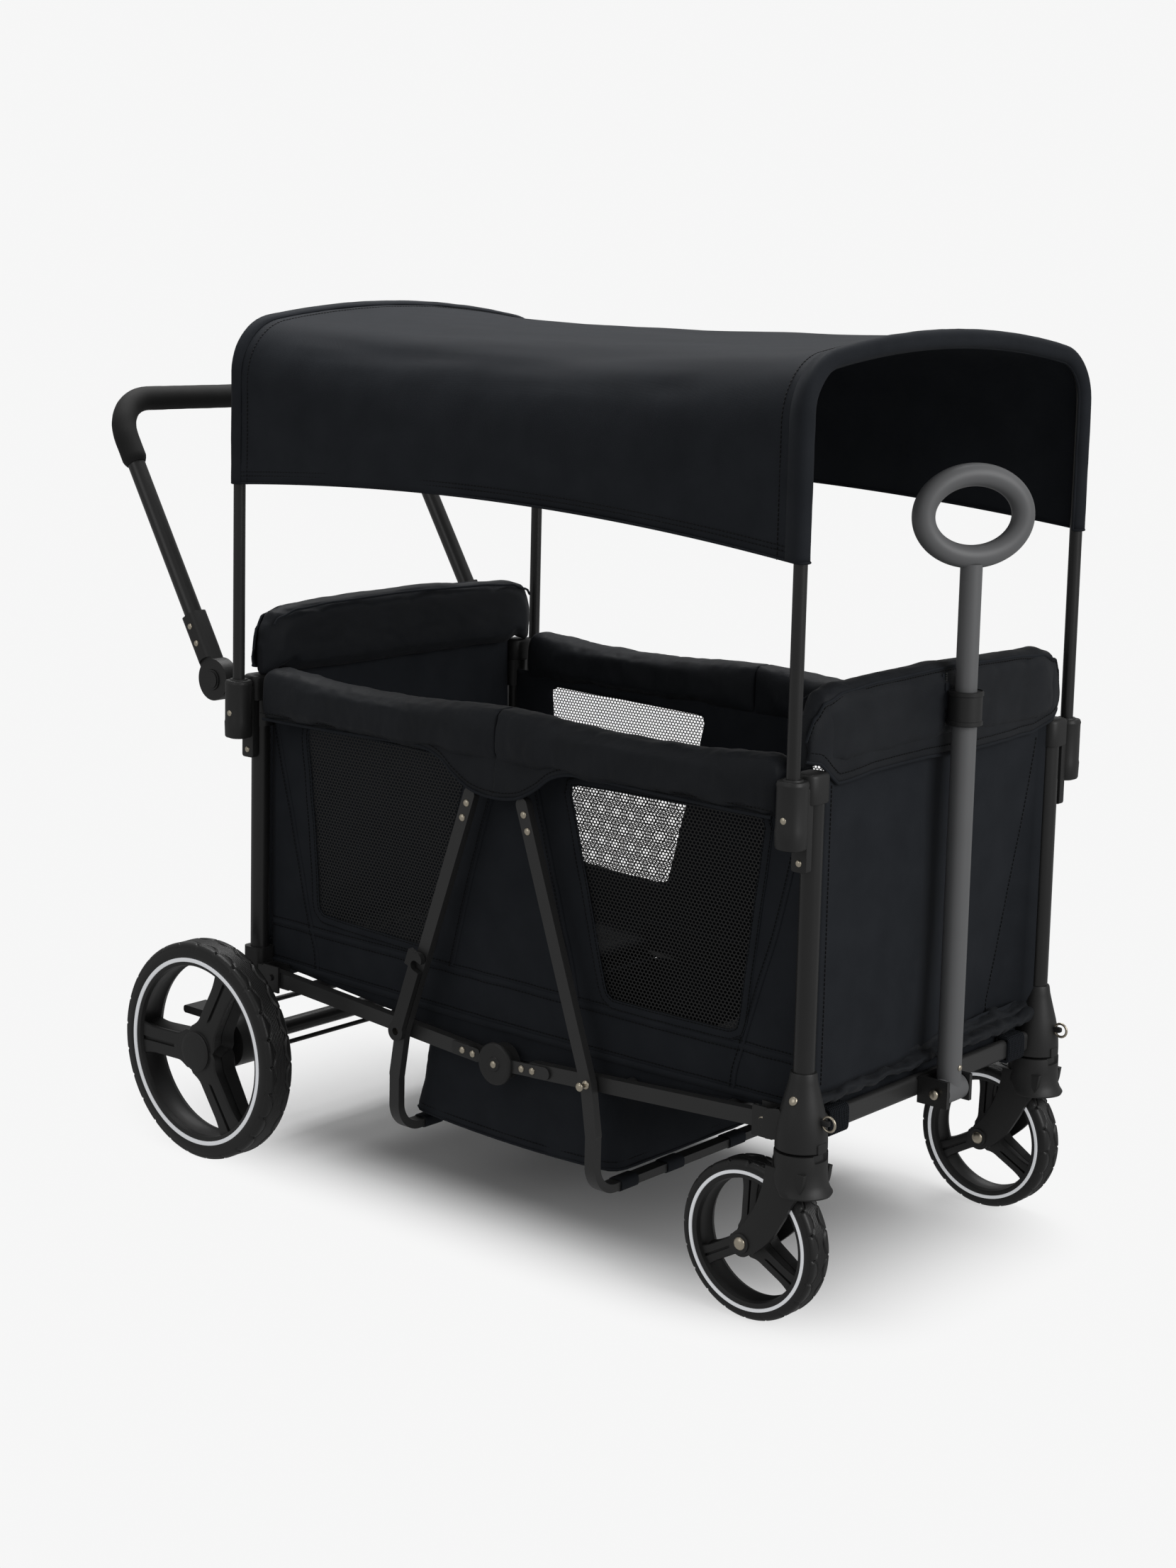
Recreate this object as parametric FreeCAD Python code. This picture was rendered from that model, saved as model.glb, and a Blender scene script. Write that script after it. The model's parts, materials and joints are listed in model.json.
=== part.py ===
"""Folding kids pull wagon: steel frame with a centre-folding chassis, swivelling front wheels,
a telescopic pull handle, a reclining push handle, a canopy and sewn fabric sides.

Millimetres. +Z is up, -Y is the front (pull handle end), X is across. Builders work from the
front post plane (y = 0 there); export() shifts everything so the origin is the middle of the
whole wagon on the floor."""
import FreeCAD, Part
import math
import os

V = FreeCAD.Vector

# ---- frame -------------------------------------------------------------------------------
LENGTH = 865.0          # front post plane to rear post plane
MID = LENGTH / 2.0      # centre hinge plane
Y_ORIGIN = 542.0        # middle of the whole wagon, from the front post plane
POST_X = 240.0          # posts either side of the centre
POST_R = 12.0
POST_TOP = 608.0
FRONT_POST_FOOT = 270.0
REAR_POST_FOOT = 216.0
SOCKET_TOP, SOCKET_FOOT = 282.0, 206.0
SOCKET_R = 26.0
CROSSBAR_Z = 225.0

# ---- side rails --------------------------------------------------------------------------
RAIL_IN, RAIL_OUT = 241.0, 253.0       # rail faces across the wagon
RAIL_H = 18.0
PIVOT_Y, PIVOT_Z = 40.0, 230.0         # rail pivot at each post bracket
HINGE_Z = 205.0                        # centre hinge sits below the pivots, so weight locks it
HUB_R = 22.0
HUB_GAP = 44.0                         # tube ends stop this far from the hinge axis
UPPER_Z = 600.0

# ---- leaning arms and their bottom loops ----------------------------------------------------
ARM_IN, ARM_OUT = 257.0, 267.0
ARM_W = 17.0
ARM_BOLT = (MID - 149.0, 216.0)
ARM_TOP = (MID - 41.5, 524.0)
ARM_KNEE = (MID - 158.0, 158.0)
LOOP_Z = 88.0
LOOP_CORNER = 38.0

# ---- canopy --------------------------------------------------------------------------------
ROD_X = 278.0
ROD_R = 7.5
HOOP_CORNER_R = 60.0
HOOP_CROWN_R = 1400.0
FRONT_APEX, REAR_APEX = 1069.5, 1078.5
CANOPY_HEM_Z = 862.0
CLOTH = 3.0

# ---- wheels --------------------------------------------------------------------------------
FRONT_R, FRONT_W, TRAIL = 90.0, 36.0, 57.0
REAR_R, REAR_W = 140.0, 42.0
REAR_AXLE_Y = LENGTH + 9.0
REAR_WHEEL_X = 320.0
FRONT_RIM_R, REAR_RIM_R = 76.0, 117.0

# ---- pull handle -----------------------------------------------------------------------------
PULL_Y, PULL_Z = -31.0, 222.0
PULL_TUBE_R = 14.0
PULL_INNER_R = 12.4
PULL_TUBE_TOP = 676.0
PULL_GRIP_Z = 877.0
GRIP_HALF_W, GRIP_HALF_H, GRIP_R = 61.5, 45.5, 13.0
GRIP_TURN = -30.0

# ---- push handle -----------------------------------------------------------------------------
PUSH_Y, PUSH_Z = 929.0, 604.0
PUSH_X = 256.0
PUSH_R = 11.5
PUSH_LEAN = 31.6
PUSH_REACH = 408.0
PUSH_CORNER = 60.0
PUSH_GRIP_FROM = 312.0
PUSH_GRIP_R = 16.0

# ---- foot brake --------------------------------------------------------------------------------
BRAKE_Y, BRAKE_Z = 906.0, 168.0


# ---- small helpers ---------------------------------------------------------------------------
def box(x0, x1, y0, y1, z0, z1):
    return Part.makeBox(x1 - x0, y1 - y0, z1 - z0, V(x0, y0, z0))


def rounded_box(x0, x1, y0, y1, z0, z1, r, axis="z"):
    """Box with its four edges along one axis rounded."""
    solid = box(x0, x1, y0, y1, z0, z1)
    along = {"x": 0, "y": 1, "z": 2}[axis]
    edges = []
    for edge in solid.Edges:
        span = edge.Vertexes[1].Point - edge.Vertexes[0].Point
        if abs(abs(span[along]) - span.Length) < 1e-6:
            edges.append(edge)
    return solid.makeFillet(r, edges)


def rod_x(x0, x1, y, z, r):
    return Part.makeCylinder(r, x1 - x0, V(x0, y, z), V(1, 0, 0))


def rod_z(x, y, z0, z1, r):
    return Part.makeCylinder(r, z1 - z0, V(x, y, z0), V(0, 0, 1))


def fuse(first, *others):
    return first.fuse(list(others)).removeSplitter() if others else first


def mirror_x(shape):
    return shape.mirror(V(0, 0, 0), V(1, 0, 0))


def mirror_y(shape):
    """Front half to rear half, about the centre hinge plane."""
    return shape.mirror(V(0, MID, 0), V(0, 1, 0))


def both_sides(shape):
    return Part.makeCompound([shape, mirror_x(shape)])


def bar(p, q, width, x0, x1):
    """Flat bar with round ends from p to q, points in the side plane (y, z)."""
    a, b = V(x0, p[0], p[1]), V(x0, q[0], q[1])
    along = (b - a).normalize()
    side = V(1, 0, 0).cross(along) * (width / 2.0)
    tip = along * (width / 2.0)
    outline = [
        Part.makeLine(a + side, b + side),
        Part.Arc(b + side, b + tip, b - side).toShape(),
        Part.makeLine(b - side, a - side),
        Part.Arc(a - side, a - tip, a + side).toShape(),
    ]
    return Part.Face(Part.Wire(outline)).extrude(V(x1 - x0, 0, 0))


def centreline(points, corner):
    """Wire through the points with every corner rounded by a tangent arc."""
    edges, start = [], points[0]
    for i in range(1, len(points) - 1):
        into = (points[i] - points[i - 1]).normalize()
        out = (points[i + 1] - points[i]).normalize()
        turn = into.getAngle(out)
        cut = corner * math.tan(turn / 2.0)
        a, b = points[i] - into * cut, points[i] + out * cut
        inward = (out - into).normalize()
        middle = points[i] + inward * (corner / math.cos(turn / 2.0) - corner)
        edges += [Part.makeLine(start, a), Part.Arc(a, middle, b).toShape()]
        start = b
    edges.append(Part.makeLine(start, points[-1]))
    return Part.Wire(edges)


def round_tube(wire, r):
    first = wire.Edges[0]
    start = first.valueAt(first.FirstParameter)
    along = first.tangentAt(first.FirstParameter)
    ring = Part.Wire(Part.makeCircle(r, start, along))
    return wire.makePipeShell([ring], True, True)


def rail_point(s, n=0.0):
    """Point in the side plane at distance s from the rail pivot along the rail, n above it."""
    run, drop = MID - PIVOT_Y, PIVOT_Z - HINGE_Z
    reach = math.hypot(run, drop)
    c, d = run / reach, drop / reach
    return (PIVOT_Y + s * c + n * d, PIVOT_Z - s * d + n * c)


def rail_reach():
    return math.hypot(MID - PIVOT_Y, PIVOT_Z - HINGE_Z)


# ---- front frame -----------------------------------------------------------------------------
def post(y, foot):
    return rod_z(POST_X, y, foot, POST_TOP, POST_R)


def front_socket():
    """Moulded corner that holds the post above and the swivel stem below."""
    body = rod_z(POST_X, 0, SOCKET_FOOT, 232, SOCKET_R)
    taper = Part.makeCone(SOCKET_R, 16, SOCKET_TOP - 232, V(POST_X, 0, 232), V(0, 0, 1))
    eye = box(POST_X - 2.5, POST_X + 2.5, -31, -18, 236, 244)
    bores = [
        rod_z(POST_X, 0, FRONT_POST_FOOT - 0.3, SOCKET_TOP + 1, POST_R + 0.2),
        rod_z(POST_X, 0, SOCKET_FOOT - 1, 242, 8.08),
        Part.makeTorus(8.0, 1.8, V(POST_X, -35, 240), V(1, 0, 0)),
    ]
    return fuse(body, taper, eye).cut(Part.makeCompound(bores))


def socket_ring():
    return Part.makeTorus(8.0, 1.5, V(POST_X, -35, 240), V(1, 0, 0))


def crossbar():
    return rounded_box(-213, 213, -6, 6, CROSSBAR_Z - 12, CROSSBAR_Z + 12, 5.5, "x")


def crossbar_strap():
    wrap = rounded_box(165, 200, -9, 9, CROSSBAR_Z - 15, CROSSBAR_Z + 15, 5, "x")
    return wrap.cut(box(160, 205, -6.3, 6.3, CROSSBAR_Z - 12.3, CROSSBAR_Z + 12.3))


def rail_bracket():
    """Channel the lower rail pivots in, open above so the rail can swing up."""
    outer = box(254.5, 257.5, 27, 54, 212, 246)
    inner = box(236.5, 239.5, 27, 54, 212, 246)
    back = box(236.5, 257.5, 26.3, 30, 212, 246)
    pin = rod_x(234.5, 260, PIVOT_Y, PIVOT_Z, 4.0)
    return fuse(outer, inner, back, pin)


def rod_socket():
    """Moulded sleeve for a canopy rod, outboard of the post, with its channel and post cap."""
    sleeve = rounded_box(262.5, 293.5, -17, 17, 541, 612, 8)
    channel = box(253.5, 263, -9, 9, 514, 604)
    cap = rod_z(POST_X, 0, 590, 614, 15)
    web = box(248, 264, -9, 9, 590, 612)
    lug = box(254, 256.5, 5, 50, 590, 610)
    pin = rod_x(240, 256.5, PIVOT_Y, UPPER_Z, 3.0)
    body = fuse(sleeve, channel, cap, web, lug, pin)
    bores = [
        rod_z(POST_X, 0, 580, POST_TOP + 0.3, POST_R + 0.2),
        rod_z(ROD_X, 0, 556.7, 620, ROD_R + 0.2),
    ]
    return body.cut(Part.makeCompound(bores))


def handle_clevis():
    """Two cheeks on the front crossbar that hold the pull handle's foot."""
    back = box(-26, 26, -12, -6.2, 207, 238)
    cheek = box(20.5, 26, -46, -6.2, 207, 238)
    pin = rod_x(-30, 30, PULL_Y, PULL_Z, 4.0)
    return fuse(back, cheek, mirror_x(cheek), pin)


def arch_edges(half, corner, crown, apex, y, foot):
    """Upside-down U: two legs, two round corners and a slightly crowned top."""
    drop = math.sqrt((crown - corner) ** 2 - (half - corner) ** 2)
    top_centre = apex - crown
    zc = top_centre + drop
    lean = math.atan2(half - corner, drop)
    join = V(math.sin(lean) * crown, y, top_centre + math.cos(lean) * crown)
    half_turn = (math.pi / 2 - lean) / 2
    mid = V(half - corner + corner * math.cos(half_turn), y, zc + corner * math.sin(half_turn))
    mx = lambda p: V(-p.x, p.y, p.z)
    knee = V(half, y, zc)
    return [
        Part.makeLine(V(half, y, foot), knee),
        Part.Arc(knee, mid, join).toShape(),
        Part.Arc(join, V(0, y, apex), mx(join)).toShape(),
        Part.Arc(mx(join), mx(mid), mx(knee)).toShape(),
        Part.makeLine(mx(knee), V(-half, y, foot)),
    ]


def canopy_hoop(y, apex):
    wire = Part.Wire(arch_edges(ROD_X, HOOP_CORNER_R, HOOP_CROWN_R, apex, y, 557))
    return round_tube(wire, ROD_R)


def arch_block(offset, y0, y1):
    """Solid under the canopy arch, grown by offset from the hoop tubes' centre line."""
    wires = []
    for y, apex in ((y0, FRONT_APEX), (y1, REAR_APEX)):
        edges = arch_edges(ROD_X + offset, HOOP_CORNER_R + offset, HOOP_CROWN_R + offset,
                           apex + offset, y, CANOPY_HEM_Z)
        a, b = V(-ROD_X - offset, y, CANOPY_HEM_Z), V(ROD_X + offset, y, CANOPY_HEM_Z)
        wires.append(Part.Wire(edges + [Part.makeLine(a, b)]))
    return Part.makeLoft(wires, True, True)


def canopy():
    inner = ROD_R + 0.4
    outer = inner + CLOTH
    return arch_block(outer, -11, LENGTH + 11).cut(arch_block(inner, -12, LENGTH + 12))


def end_cover():
    """Padded cover over the raised end of the frame, with its front flap."""
    pad = rounded_box(-256, 256, -10.5, 26, 500, 717, 62, "y").cut(box(-300, 300, -20, 40, 490, 618))
    flap = box(-223, 223, -10.5, -7.5, 603, 620)
    return fuse(pad, flap)


def end_panel():
    return box(-219.5, 219.5, -4, -1, 262, 600)


def side_panel():
    return box(228.2, 231.2, 20, LENGTH - 20, 262, 561.5)


# ---- side rails ------------------------------------------------------------------------------
def front_rail():
    """Lower rail from the post bracket to the centre hinge, with the outer half of its hub."""
    tube = bar(rail_point(0), rail_point(rail_reach() - HUB_GAP - RAIL_H / 2), RAIL_H, RAIL_IN, RAIL_OUT)
    plate = bar(rail_point(rail_reach() - 76), rail_point(rail_reach()), 15, RAIL_OUT - 0.2, 256)
    hub = rod_x(248.4, 256, MID, HINGE_Z, HUB_R)
    pin = rod_x(237.4, 258.4, MID, HINGE_Z, 4.0)
    holes = [rod_x(230, 260, PIVOT_Y, PIVOT_Z, 4.3), rod_x(230, 270, ARM_BOLT[0], ARM_BOLT[1], 4.3)]
    return fuse(tube, plate, hub, pin).cut(Part.makeCompound(holes))


def rear_rail():
    """Mirror half of the lower rail, with the inner half of the centre hub."""
    tube = bar(rail_point(0), rail_point(rail_reach() - HUB_GAP - RAIL_H / 2), RAIL_H, RAIL_IN, RAIL_OUT)
    plate = bar(rail_point(rail_reach() - 76), rail_point(rail_reach()), 15, 238, RAIL_IN + 0.2)
    hub = rod_x(238, 248, MID, HINGE_Z, HUB_R)
    holes = [rod_x(230, 260, PIVOT_Y, PIVOT_Z, 4.3), rod_x(230, 270, ARM_BOLT[0], ARM_BOLT[1], 4.3),
             rod_x(230, 260, MID, HINGE_Z, 4.3)]
    return mirror_y(fuse(tube, plate, hub).cut(Part.makeCompound(holes)))


def cross_tubes():
    """Two round tubes that join the rails and carry the seat board."""
    tubes = []
    for s in (60.0, 205.0):
        y, z = rail_point(s)
        tubes.append(rod_x(-RAIL_IN - 0.5, RAIL_IN + 0.5, y, z, 8.0))
    return tubes


def front_rails():
    rail = front_rail()
    return fuse(rail, mirror_x(rail), *cross_tubes())


def rear_rails():
    rail = rear_rail()
    return fuse(rail, mirror_x(rail), *[mirror_y(t) for t in cross_tubes()])


def seat_board():
    """Padded board on the cross tubes, lying along the rails."""
    board = box(-226, 226, 25, 245, 8.4, 27)
    top_edges = [e for e in board.Edges if e.BoundBox.ZLength < 1e-6 and e.BoundBox.ZMin > 20]
    board = board.makeFillet(6, top_edges)
    slope = math.degrees(math.atan2(PIVOT_Z - HINGE_Z, MID - PIVOT_Y))
    board.rotate(V(0, 0, 0), V(1, 0, 0), -slope)
    board.translate(V(0, PIVOT_Y, PIVOT_Z))
    return board


def upper_rail():
    tube = bar((PIVOT_Y, UPPER_Z), (MID - 13, UPPER_Z), 20, RAIL_IN, RAIL_OUT)
    return tube.cut(rod_x(230, 260, PIVOT_Y, UPPER_Z, 3.3))


def padded_rim():
    """Front half of a padded side rim: a sleeve round the upper rail, with half the hanging flap."""
    pad = rounded_box(225, 270.5, 27, MID - 0.3, 562, 631, 14, "y")
    pad = pad.cut(box(236, 258.5, 20, MID + 1, 586, 614))
    outline = [V(268, MID - 104, 575), V(268, MID - 76, 553), V(268, MID - 40, 530), V(268, MID - 0.3, 528),
               V(268, MID - 0.3, 575), V(268, MID - 104, 575)]
    flap = Part.Face(Part.makePolygon(outline)).extrude(V(2.5, 0, 0))
    return fuse(pad, flap)


# ---- leaning arms ----------------------------------------------------------------------------
def bottom_loop():
    """Flat tube bent into a U between the two front arms, under the footwell."""
    half, y0, y1 = ARM_OUT, ARM_KNEE[0] - 8, ARM_KNEE[0] + 8
    outer = rounded_box(-half, half, y0, y1, LOOP_Z - 5, 400, LOOP_CORNER, "y")
    inner = rounded_box(-half + 10, half - 10, y0 - 1, y1 + 1, LOOP_Z + 5, 401, LOOP_CORNER - 10, "y")
    return outer.cut(inner).cut(box(-300, 300, 0, 600, ARM_KNEE[1], 500))


def front_u_frame():
    upper = bar(ARM_TOP, ARM_BOLT, ARM_W, ARM_IN, ARM_OUT)
    lower = bar(ARM_BOLT, ARM_KNEE, ARM_W, ARM_IN, ARM_OUT)
    bolt_hole = rod_x(250, 270, ARM_BOLT[0], ARM_BOLT[1], 4.1)
    arm = fuse(upper, lower).cut(bolt_hole)
    return fuse(arm, mirror_x(arm), bottom_loop())


def arm_bolt():
    """Bolt through arm and rail with a flat head outboard."""
    shank = rod_x(239, 268, ARM_BOLT[0], ARM_BOLT[1], 4.0)
    head = rod_x(267.2, 268.2, ARM_BOLT[0], ARM_BOLT[1], 7.5)
    tail = rod_x(238.4, 240.6, ARM_BOLT[0], ARM_BOLT[1], 7.0)
    return fuse(shank, head, tail)


def front_arm_bolts():
    """The one on the right ends in the mushroom stud that the latch hook catches."""
    stem = rod_x(267, 281, ARM_BOLT[0], ARM_BOLT[1], 4.5)
    knob = rod_x(277.5, 281, ARM_BOLT[0], ARM_BOLT[1], 8.0)
    right = mirror_x(fuse(arm_bolt(), stem, knob))
    return Part.makeCompound([arm_bolt(), right])


def rear_arm_bolts():
    pivot = rod_x(267, 277.5, ARM_BOLT[0], ARM_BOLT[1], 4.5)
    cap = rod_x(276.3, 278.3, ARM_BOLT[0], ARM_BOLT[1], 7.5)
    right = mirror_x(fuse(arm_bolt(), pivot, cap))
    return mirror_y(Part.makeCompound([arm_bolt(), right]))


def latch_hook():
    """Hook on the right rear arm: it swings over to the front arm's stud when the wagon is folded."""
    y, z = LENGTH - ARM_BOLT[0], ARM_BOLT[1]
    body = bar((0, 0), (0, 101), 18, -275.8, -268.8)
    boss = rod_x(-275.8, -268.8, 0, 0, 12)
    tab = box(-275.8, -268.8, 4, 16, 88, 108)
    mouth = fuse(rod_x(-280, -260, 0, 93.4, 6.2), box(-280, -260, -20, 0, 87.2, 99.6))
    hook = fuse(body, boss, tab).cut(mouth).cut(rod_x(-280, -260, 0, 0, 4.7))
    lean = math.degrees(math.atan2(ARM_TOP[0] - ARM_BOLT[0], ARM_TOP[1] - ARM_BOLT[1]))
    hook.rotate(V(0, 0, 0), V(1, 0, 0), lean)
    hook.translate(V(0, y, z))
    return hook


def footwell():
    """Fabric tub that hangs between the two bottom loops."""
    y0, y1 = ARM_KNEE[0] + 12, LENGTH - ARM_KNEE[0] - 12
    outer = box(-234, 234, y0, y1, 100, 214)
    return outer.cut(box(-231, 231, y0 + 3, y1 - 3, 103, 230))


# ---- rear frame ------------------------------------------------------------------------------
def rear_bracket():
    """Post foot and axle housing in one moulding, with the brake drum beside the wheel."""
    foot = rounded_box(225, 255, 849, 882, 200, 262, 8)
    web = rounded_box(229, 251, 852, 896, 118, 204, 6, "x")
    drum = rod_x(250, 288, REAR_AXLE_Y, REAR_R, 32)
    ear = rounded_box(244, 252, 880, 917, 148, 180, 6, "x")
    stub = rod_x(288, 336, REAR_AXLE_Y, REAR_R, 6.0)
    bores = [
        rod_z(POST_X, LENGTH, REAR_POST_FOOT - 0.3, 270, POST_R + 0.2),
        rod_x(220, 243, REAR_AXLE_Y, REAR_R, 11.2),
        rod_x(240, 256, BRAKE_Y, BRAKE_Z, 3.7),
    ]
    return fuse(foot, web, drum, ear, stub).cut(Part.makeCompound(bores))


def rear_axle():
    return rod_x(-242.7, 242.7, REAR_AXLE_Y, REAR_R, 11.0)


def brake_cable():
    return rod_x(-228.5, 228.5, REAR_AXLE_Y - 8, 121, 3.0)


def rear_rail_bracket():
    return fuse(mirror_y(rail_bracket()), box(236.5, 257.5, LENGTH - 27, LENGTH - 16.4, 216, 244))


def brake_pedals():
    """Linking rod with a foot pedal beside each rear wheel."""
    rod = rod_x(-270, 270, BRAKE_Y, BRAKE_Z, 3.5)
    pedal = rounded_box(257, 292, BRAKE_Y + 1, BRAKE_Y + 48, BRAKE_Z - 3, BRAKE_Z + 7, 4, "x")
    neck = box(257, 270, BRAKE_Y - 5, BRAKE_Y + 8, BRAKE_Z - 4.5, BRAKE_Z + 6)
    return fuse(rod, pedal, neck, mirror_x(pedal), mirror_x(neck))


def handle_bracket():
    """Clamp on the rear post that carries the push handle's pivot."""
    clamp = rod_z(POST_X, LENGTH, 552, 588.5, 17)
    plate = bar((LENGTH + 12, 571), (PUSH_Y, PUSH_Z), 30, 233, 245)
    pin = rod_x(244, 252, PUSH_Y, PUSH_Z, 5.0)
    post_bore = rod_z(POST_X, LENGTH, 540, 600, POST_R + 0.2)
    socket_room = box(253.1, 262, LENGTH - 20, LENGTH + 20, 545, 595)
    return fuse(clamp, plate, pin).cut(Part.makeCompound([post_bore, socket_room]))


# ---- push handle -----------------------------------------------------------------------------
def push_point(x, s):
    lean = math.radians(PUSH_LEAN)
    return V(x, PUSH_Y + s * math.sin(lean), PUSH_Z + s * math.cos(lean))


def push_wire(start):
    points = [push_point(-PUSH_X, start), push_point(-PUSH_X, PUSH_REACH),
              push_point(PUSH_X, PUSH_REACH), push_point(PUSH_X, start)]
    return centreline(points, PUSH_CORNER)


def push_tube():
    return round_tube(push_wire(58), PUSH_R)


def push_grip():
    sleeve = round_tube(push_wire(PUSH_GRIP_FROM), PUSH_GRIP_R)
    return sleeve.cut(round_tube(push_wire(PUSH_GRIP_FROM - 5), PUSH_R + 0.2))


def push_hub():
    """Round pivot housing with a ferrule for the handle tube and a well for the release button."""
    disc = rod_x(246, 266, PUSH_Y, PUSH_Z, 27)
    ferrule = rounded_box(242.3, 269.7, -14, 14, 10, 92, 9)
    ferrule.rotate(V(0, 0, 0), V(1, 0, 0), -PUSH_LEAN)
    ferrule.translate(V(0, PUSH_Y, PUSH_Z))
    ferrule = ferrule.cut(rod_x(230, 246, PUSH_Y, PUSH_Z, 40)).cut(rod_x(266, 280, PUSH_Y, PUSH_Z, 30))
    bores = [
        Part.makeCylinder(PUSH_R + 0.2, 80, push_point(PUSH_X, 57.5), push_point(0, 1) - push_point(0, 0)),
        rod_x(253.5, 270, PUSH_Y, PUSH_Z, 13.4),
        rod_x(240, 252.8, PUSH_Y, PUSH_Z, 5.1),
    ]
    return fuse(disc, ferrule).cut(Part.makeCompound(bores))


def push_button():
    return fuse(rod_x(258.2, 267.6, PUSH_Y, PUSH_Z, 13.0), rod_x(267, 269, PUSH_Y, PUSH_Z, 10.5))


# ---- pull handle -----------------------------------------------------------------------------
def pull_tube():
    """Lower tube with its T-shaped foot; the upper tube slides inside."""
    foot = rod_x(-19.5, 19.5, PULL_Y, PULL_Z, 15)
    tube = rod_z(0, PULL_Y, PULL_Z, PULL_TUBE_TOP, PULL_TUBE_R)
    bores = [
        rod_z(0, PULL_Y, 262, PULL_TUBE_TOP + 1, PULL_INNER_R + 0.3),
        rod_x(-30, 30, PULL_Y, PULL_Z, 4.3),
    ]
    return fuse(foot, tube).cut(Part.makeCompound(bores))


def pull_collar():
    body = rod_z(0, PULL_Y, 644, 681, 19)
    bores = [
        rod_z(0, PULL_Y, 640, PULL_TUBE_TOP + 0.3, PULL_TUBE_R + 0.2),
        rod_z(0, PULL_Y, 640, 690, PULL_INNER_R + 0.3),
    ]
    return body.cut(Part.makeCompound(bores))


def grip_ring():
    """Oval grip ring, turned a little on its round tube."""
    path = Part.Ellipse(V(0, 0, 0), GRIP_HALF_W, GRIP_HALF_H).toShape()
    path.rotate(V(0, 0, 0), V(1, 0, 0), 90)
    section = Part.Wire(Part.makeCircle(GRIP_R, V(GRIP_HALF_W, 0, 0), V(0, 0, 1)))
    ring = Part.Wire(path).makePipeShell([section], True, True)
    ring.rotate(V(0, 0, 0), V(0, 0, 1), GRIP_TURN)
    ring.translate(V(0, PULL_Y, PULL_GRIP_Z))
    return ring


def pull_upper_tube():
    return rod_z(0, PULL_Y, 365, PULL_GRIP_Z - GRIP_HALF_H - 8, PULL_INNER_R).cut(grip_ring())


# ---- wheels ----------------------------------------------------------------------------------
def fork():
    """Swivel head with two blades down to the axle; the blades trail behind the stem."""
    head = rod_z(POST_X, 0, 184, 204, 23)
    stem = rod_z(POST_X, 0, 200, 239, 8.0)
    outline = [(-23, 204), (23, 204), (31, 184), (70, 103), (71, 84), (58, 76), (44, 82),
               (-10, 150), (-26, 156), (-26, 184)]
    face = Part.Face(Part.makePolygon([V(POST_X + 20.5, y, z) for y, z in outline + outline[:1]]))
    blade = face.extrude(V(6, 0, 0))
    other = blade.copy()
    other.translate(V(-47, 0, 0))
    shoulder = box(POST_X - 26.5, POST_X + 26.5, -26, 20, 184, 192)
    front = rounded_box(POST_X - 26.5, POST_X + 26.5, -26, -19, 152, 192, 3, "z")
    bolt = rod_x(POST_X - 30, POST_X + 30, TRAIL, FRONT_R, 5.0)
    heads = [rod_x(POST_X + 26.4, POST_X + 30, TRAIL, FRONT_R, 8.0),
             rod_x(POST_X - 30, POST_X - 26.4, TRAIL, FRONT_R, 8.0)]
    return fuse(head, stem, blade, other, shoulder, front, bolt, *heads)


def tyre(x, y, r, inner, width):
    """Ring with rounded shoulders, turned about the axle."""
    h, fillet, bead = width / 2.0, 8.0, inner + 0.15
    q = fillet * (1 - math.sqrt(0.5))
    p = lambda across, out: V(x + across, y, r + out)
    outline = [
        Part.makeLine(p(-h, bead), p(h, bead)),
        Part.makeLine(p(h, bead), p(h, r - fillet)),
        Part.Arc(p(h, r - fillet), p(h - q, r - q), p(h - fillet, r)).toShape(),
        Part.makeLine(p(h - fillet, r), p(fillet - h, r)),
        Part.Arc(p(fillet - h, r), p(q - h, r - q), p(-h, r - fillet)).toShape(),
        Part.makeLine(p(-h, r - fillet), p(-h, bead)),
    ]
    return Part.Face(Part.Wire(outline)).revolve(V(x, y, r), V(1, 0, 0), 360)


def rim(x, y, r, inner, width, hub, bore, turn):
    """Deep barrel with a hub and three wide spokes; turn sets the first spoke's angle."""
    barrel = rod_x(x - width / 2, x + width / 2, y, r, inner).cut(
        rod_x(x - width, x + width, y, r, inner - 5.0))
    centre = rod_x(x - width / 2 - 2, x + width / 2 + 2, y, r, hub)
    spokes = []
    for k in range(3):
        spoke = box(x - 7, x + 9, y - hub * 0.72, y + hub * 0.72, r + hub * 0.6, r + inner - 3.0)
        spoke.rotate(V(x, y, r), V(1, 0, 0), turn + 120.0 * k)
        spokes.append(spoke)
    return fuse(barrel, centre, *spokes).cut(rod_x(x - width, x + width, y, r, bore))


def front_tyre():
    return tyre(POST_X, TRAIL, FRONT_R, FRONT_RIM_R, FRONT_W)


def front_rim():
    return rim(POST_X, TRAIL, FRONT_R, FRONT_RIM_R, FRONT_W - 2, 16, 5.08, 0.0)


def rear_tyre():
    return tyre(REAR_WHEEL_X, REAR_AXLE_Y, REAR_R, REAR_RIM_R, REAR_W)


def rear_rim():
    body = rim(REAR_WHEEL_X, REAR_AXLE_Y, REAR_R, REAR_RIM_R, REAR_W - 2, 25, 6.08, 90.0)
    cap = rod_x(337.5, 343.5, REAR_AXLE_Y, REAR_R, 24)
    return fuse(body, cap)


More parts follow.
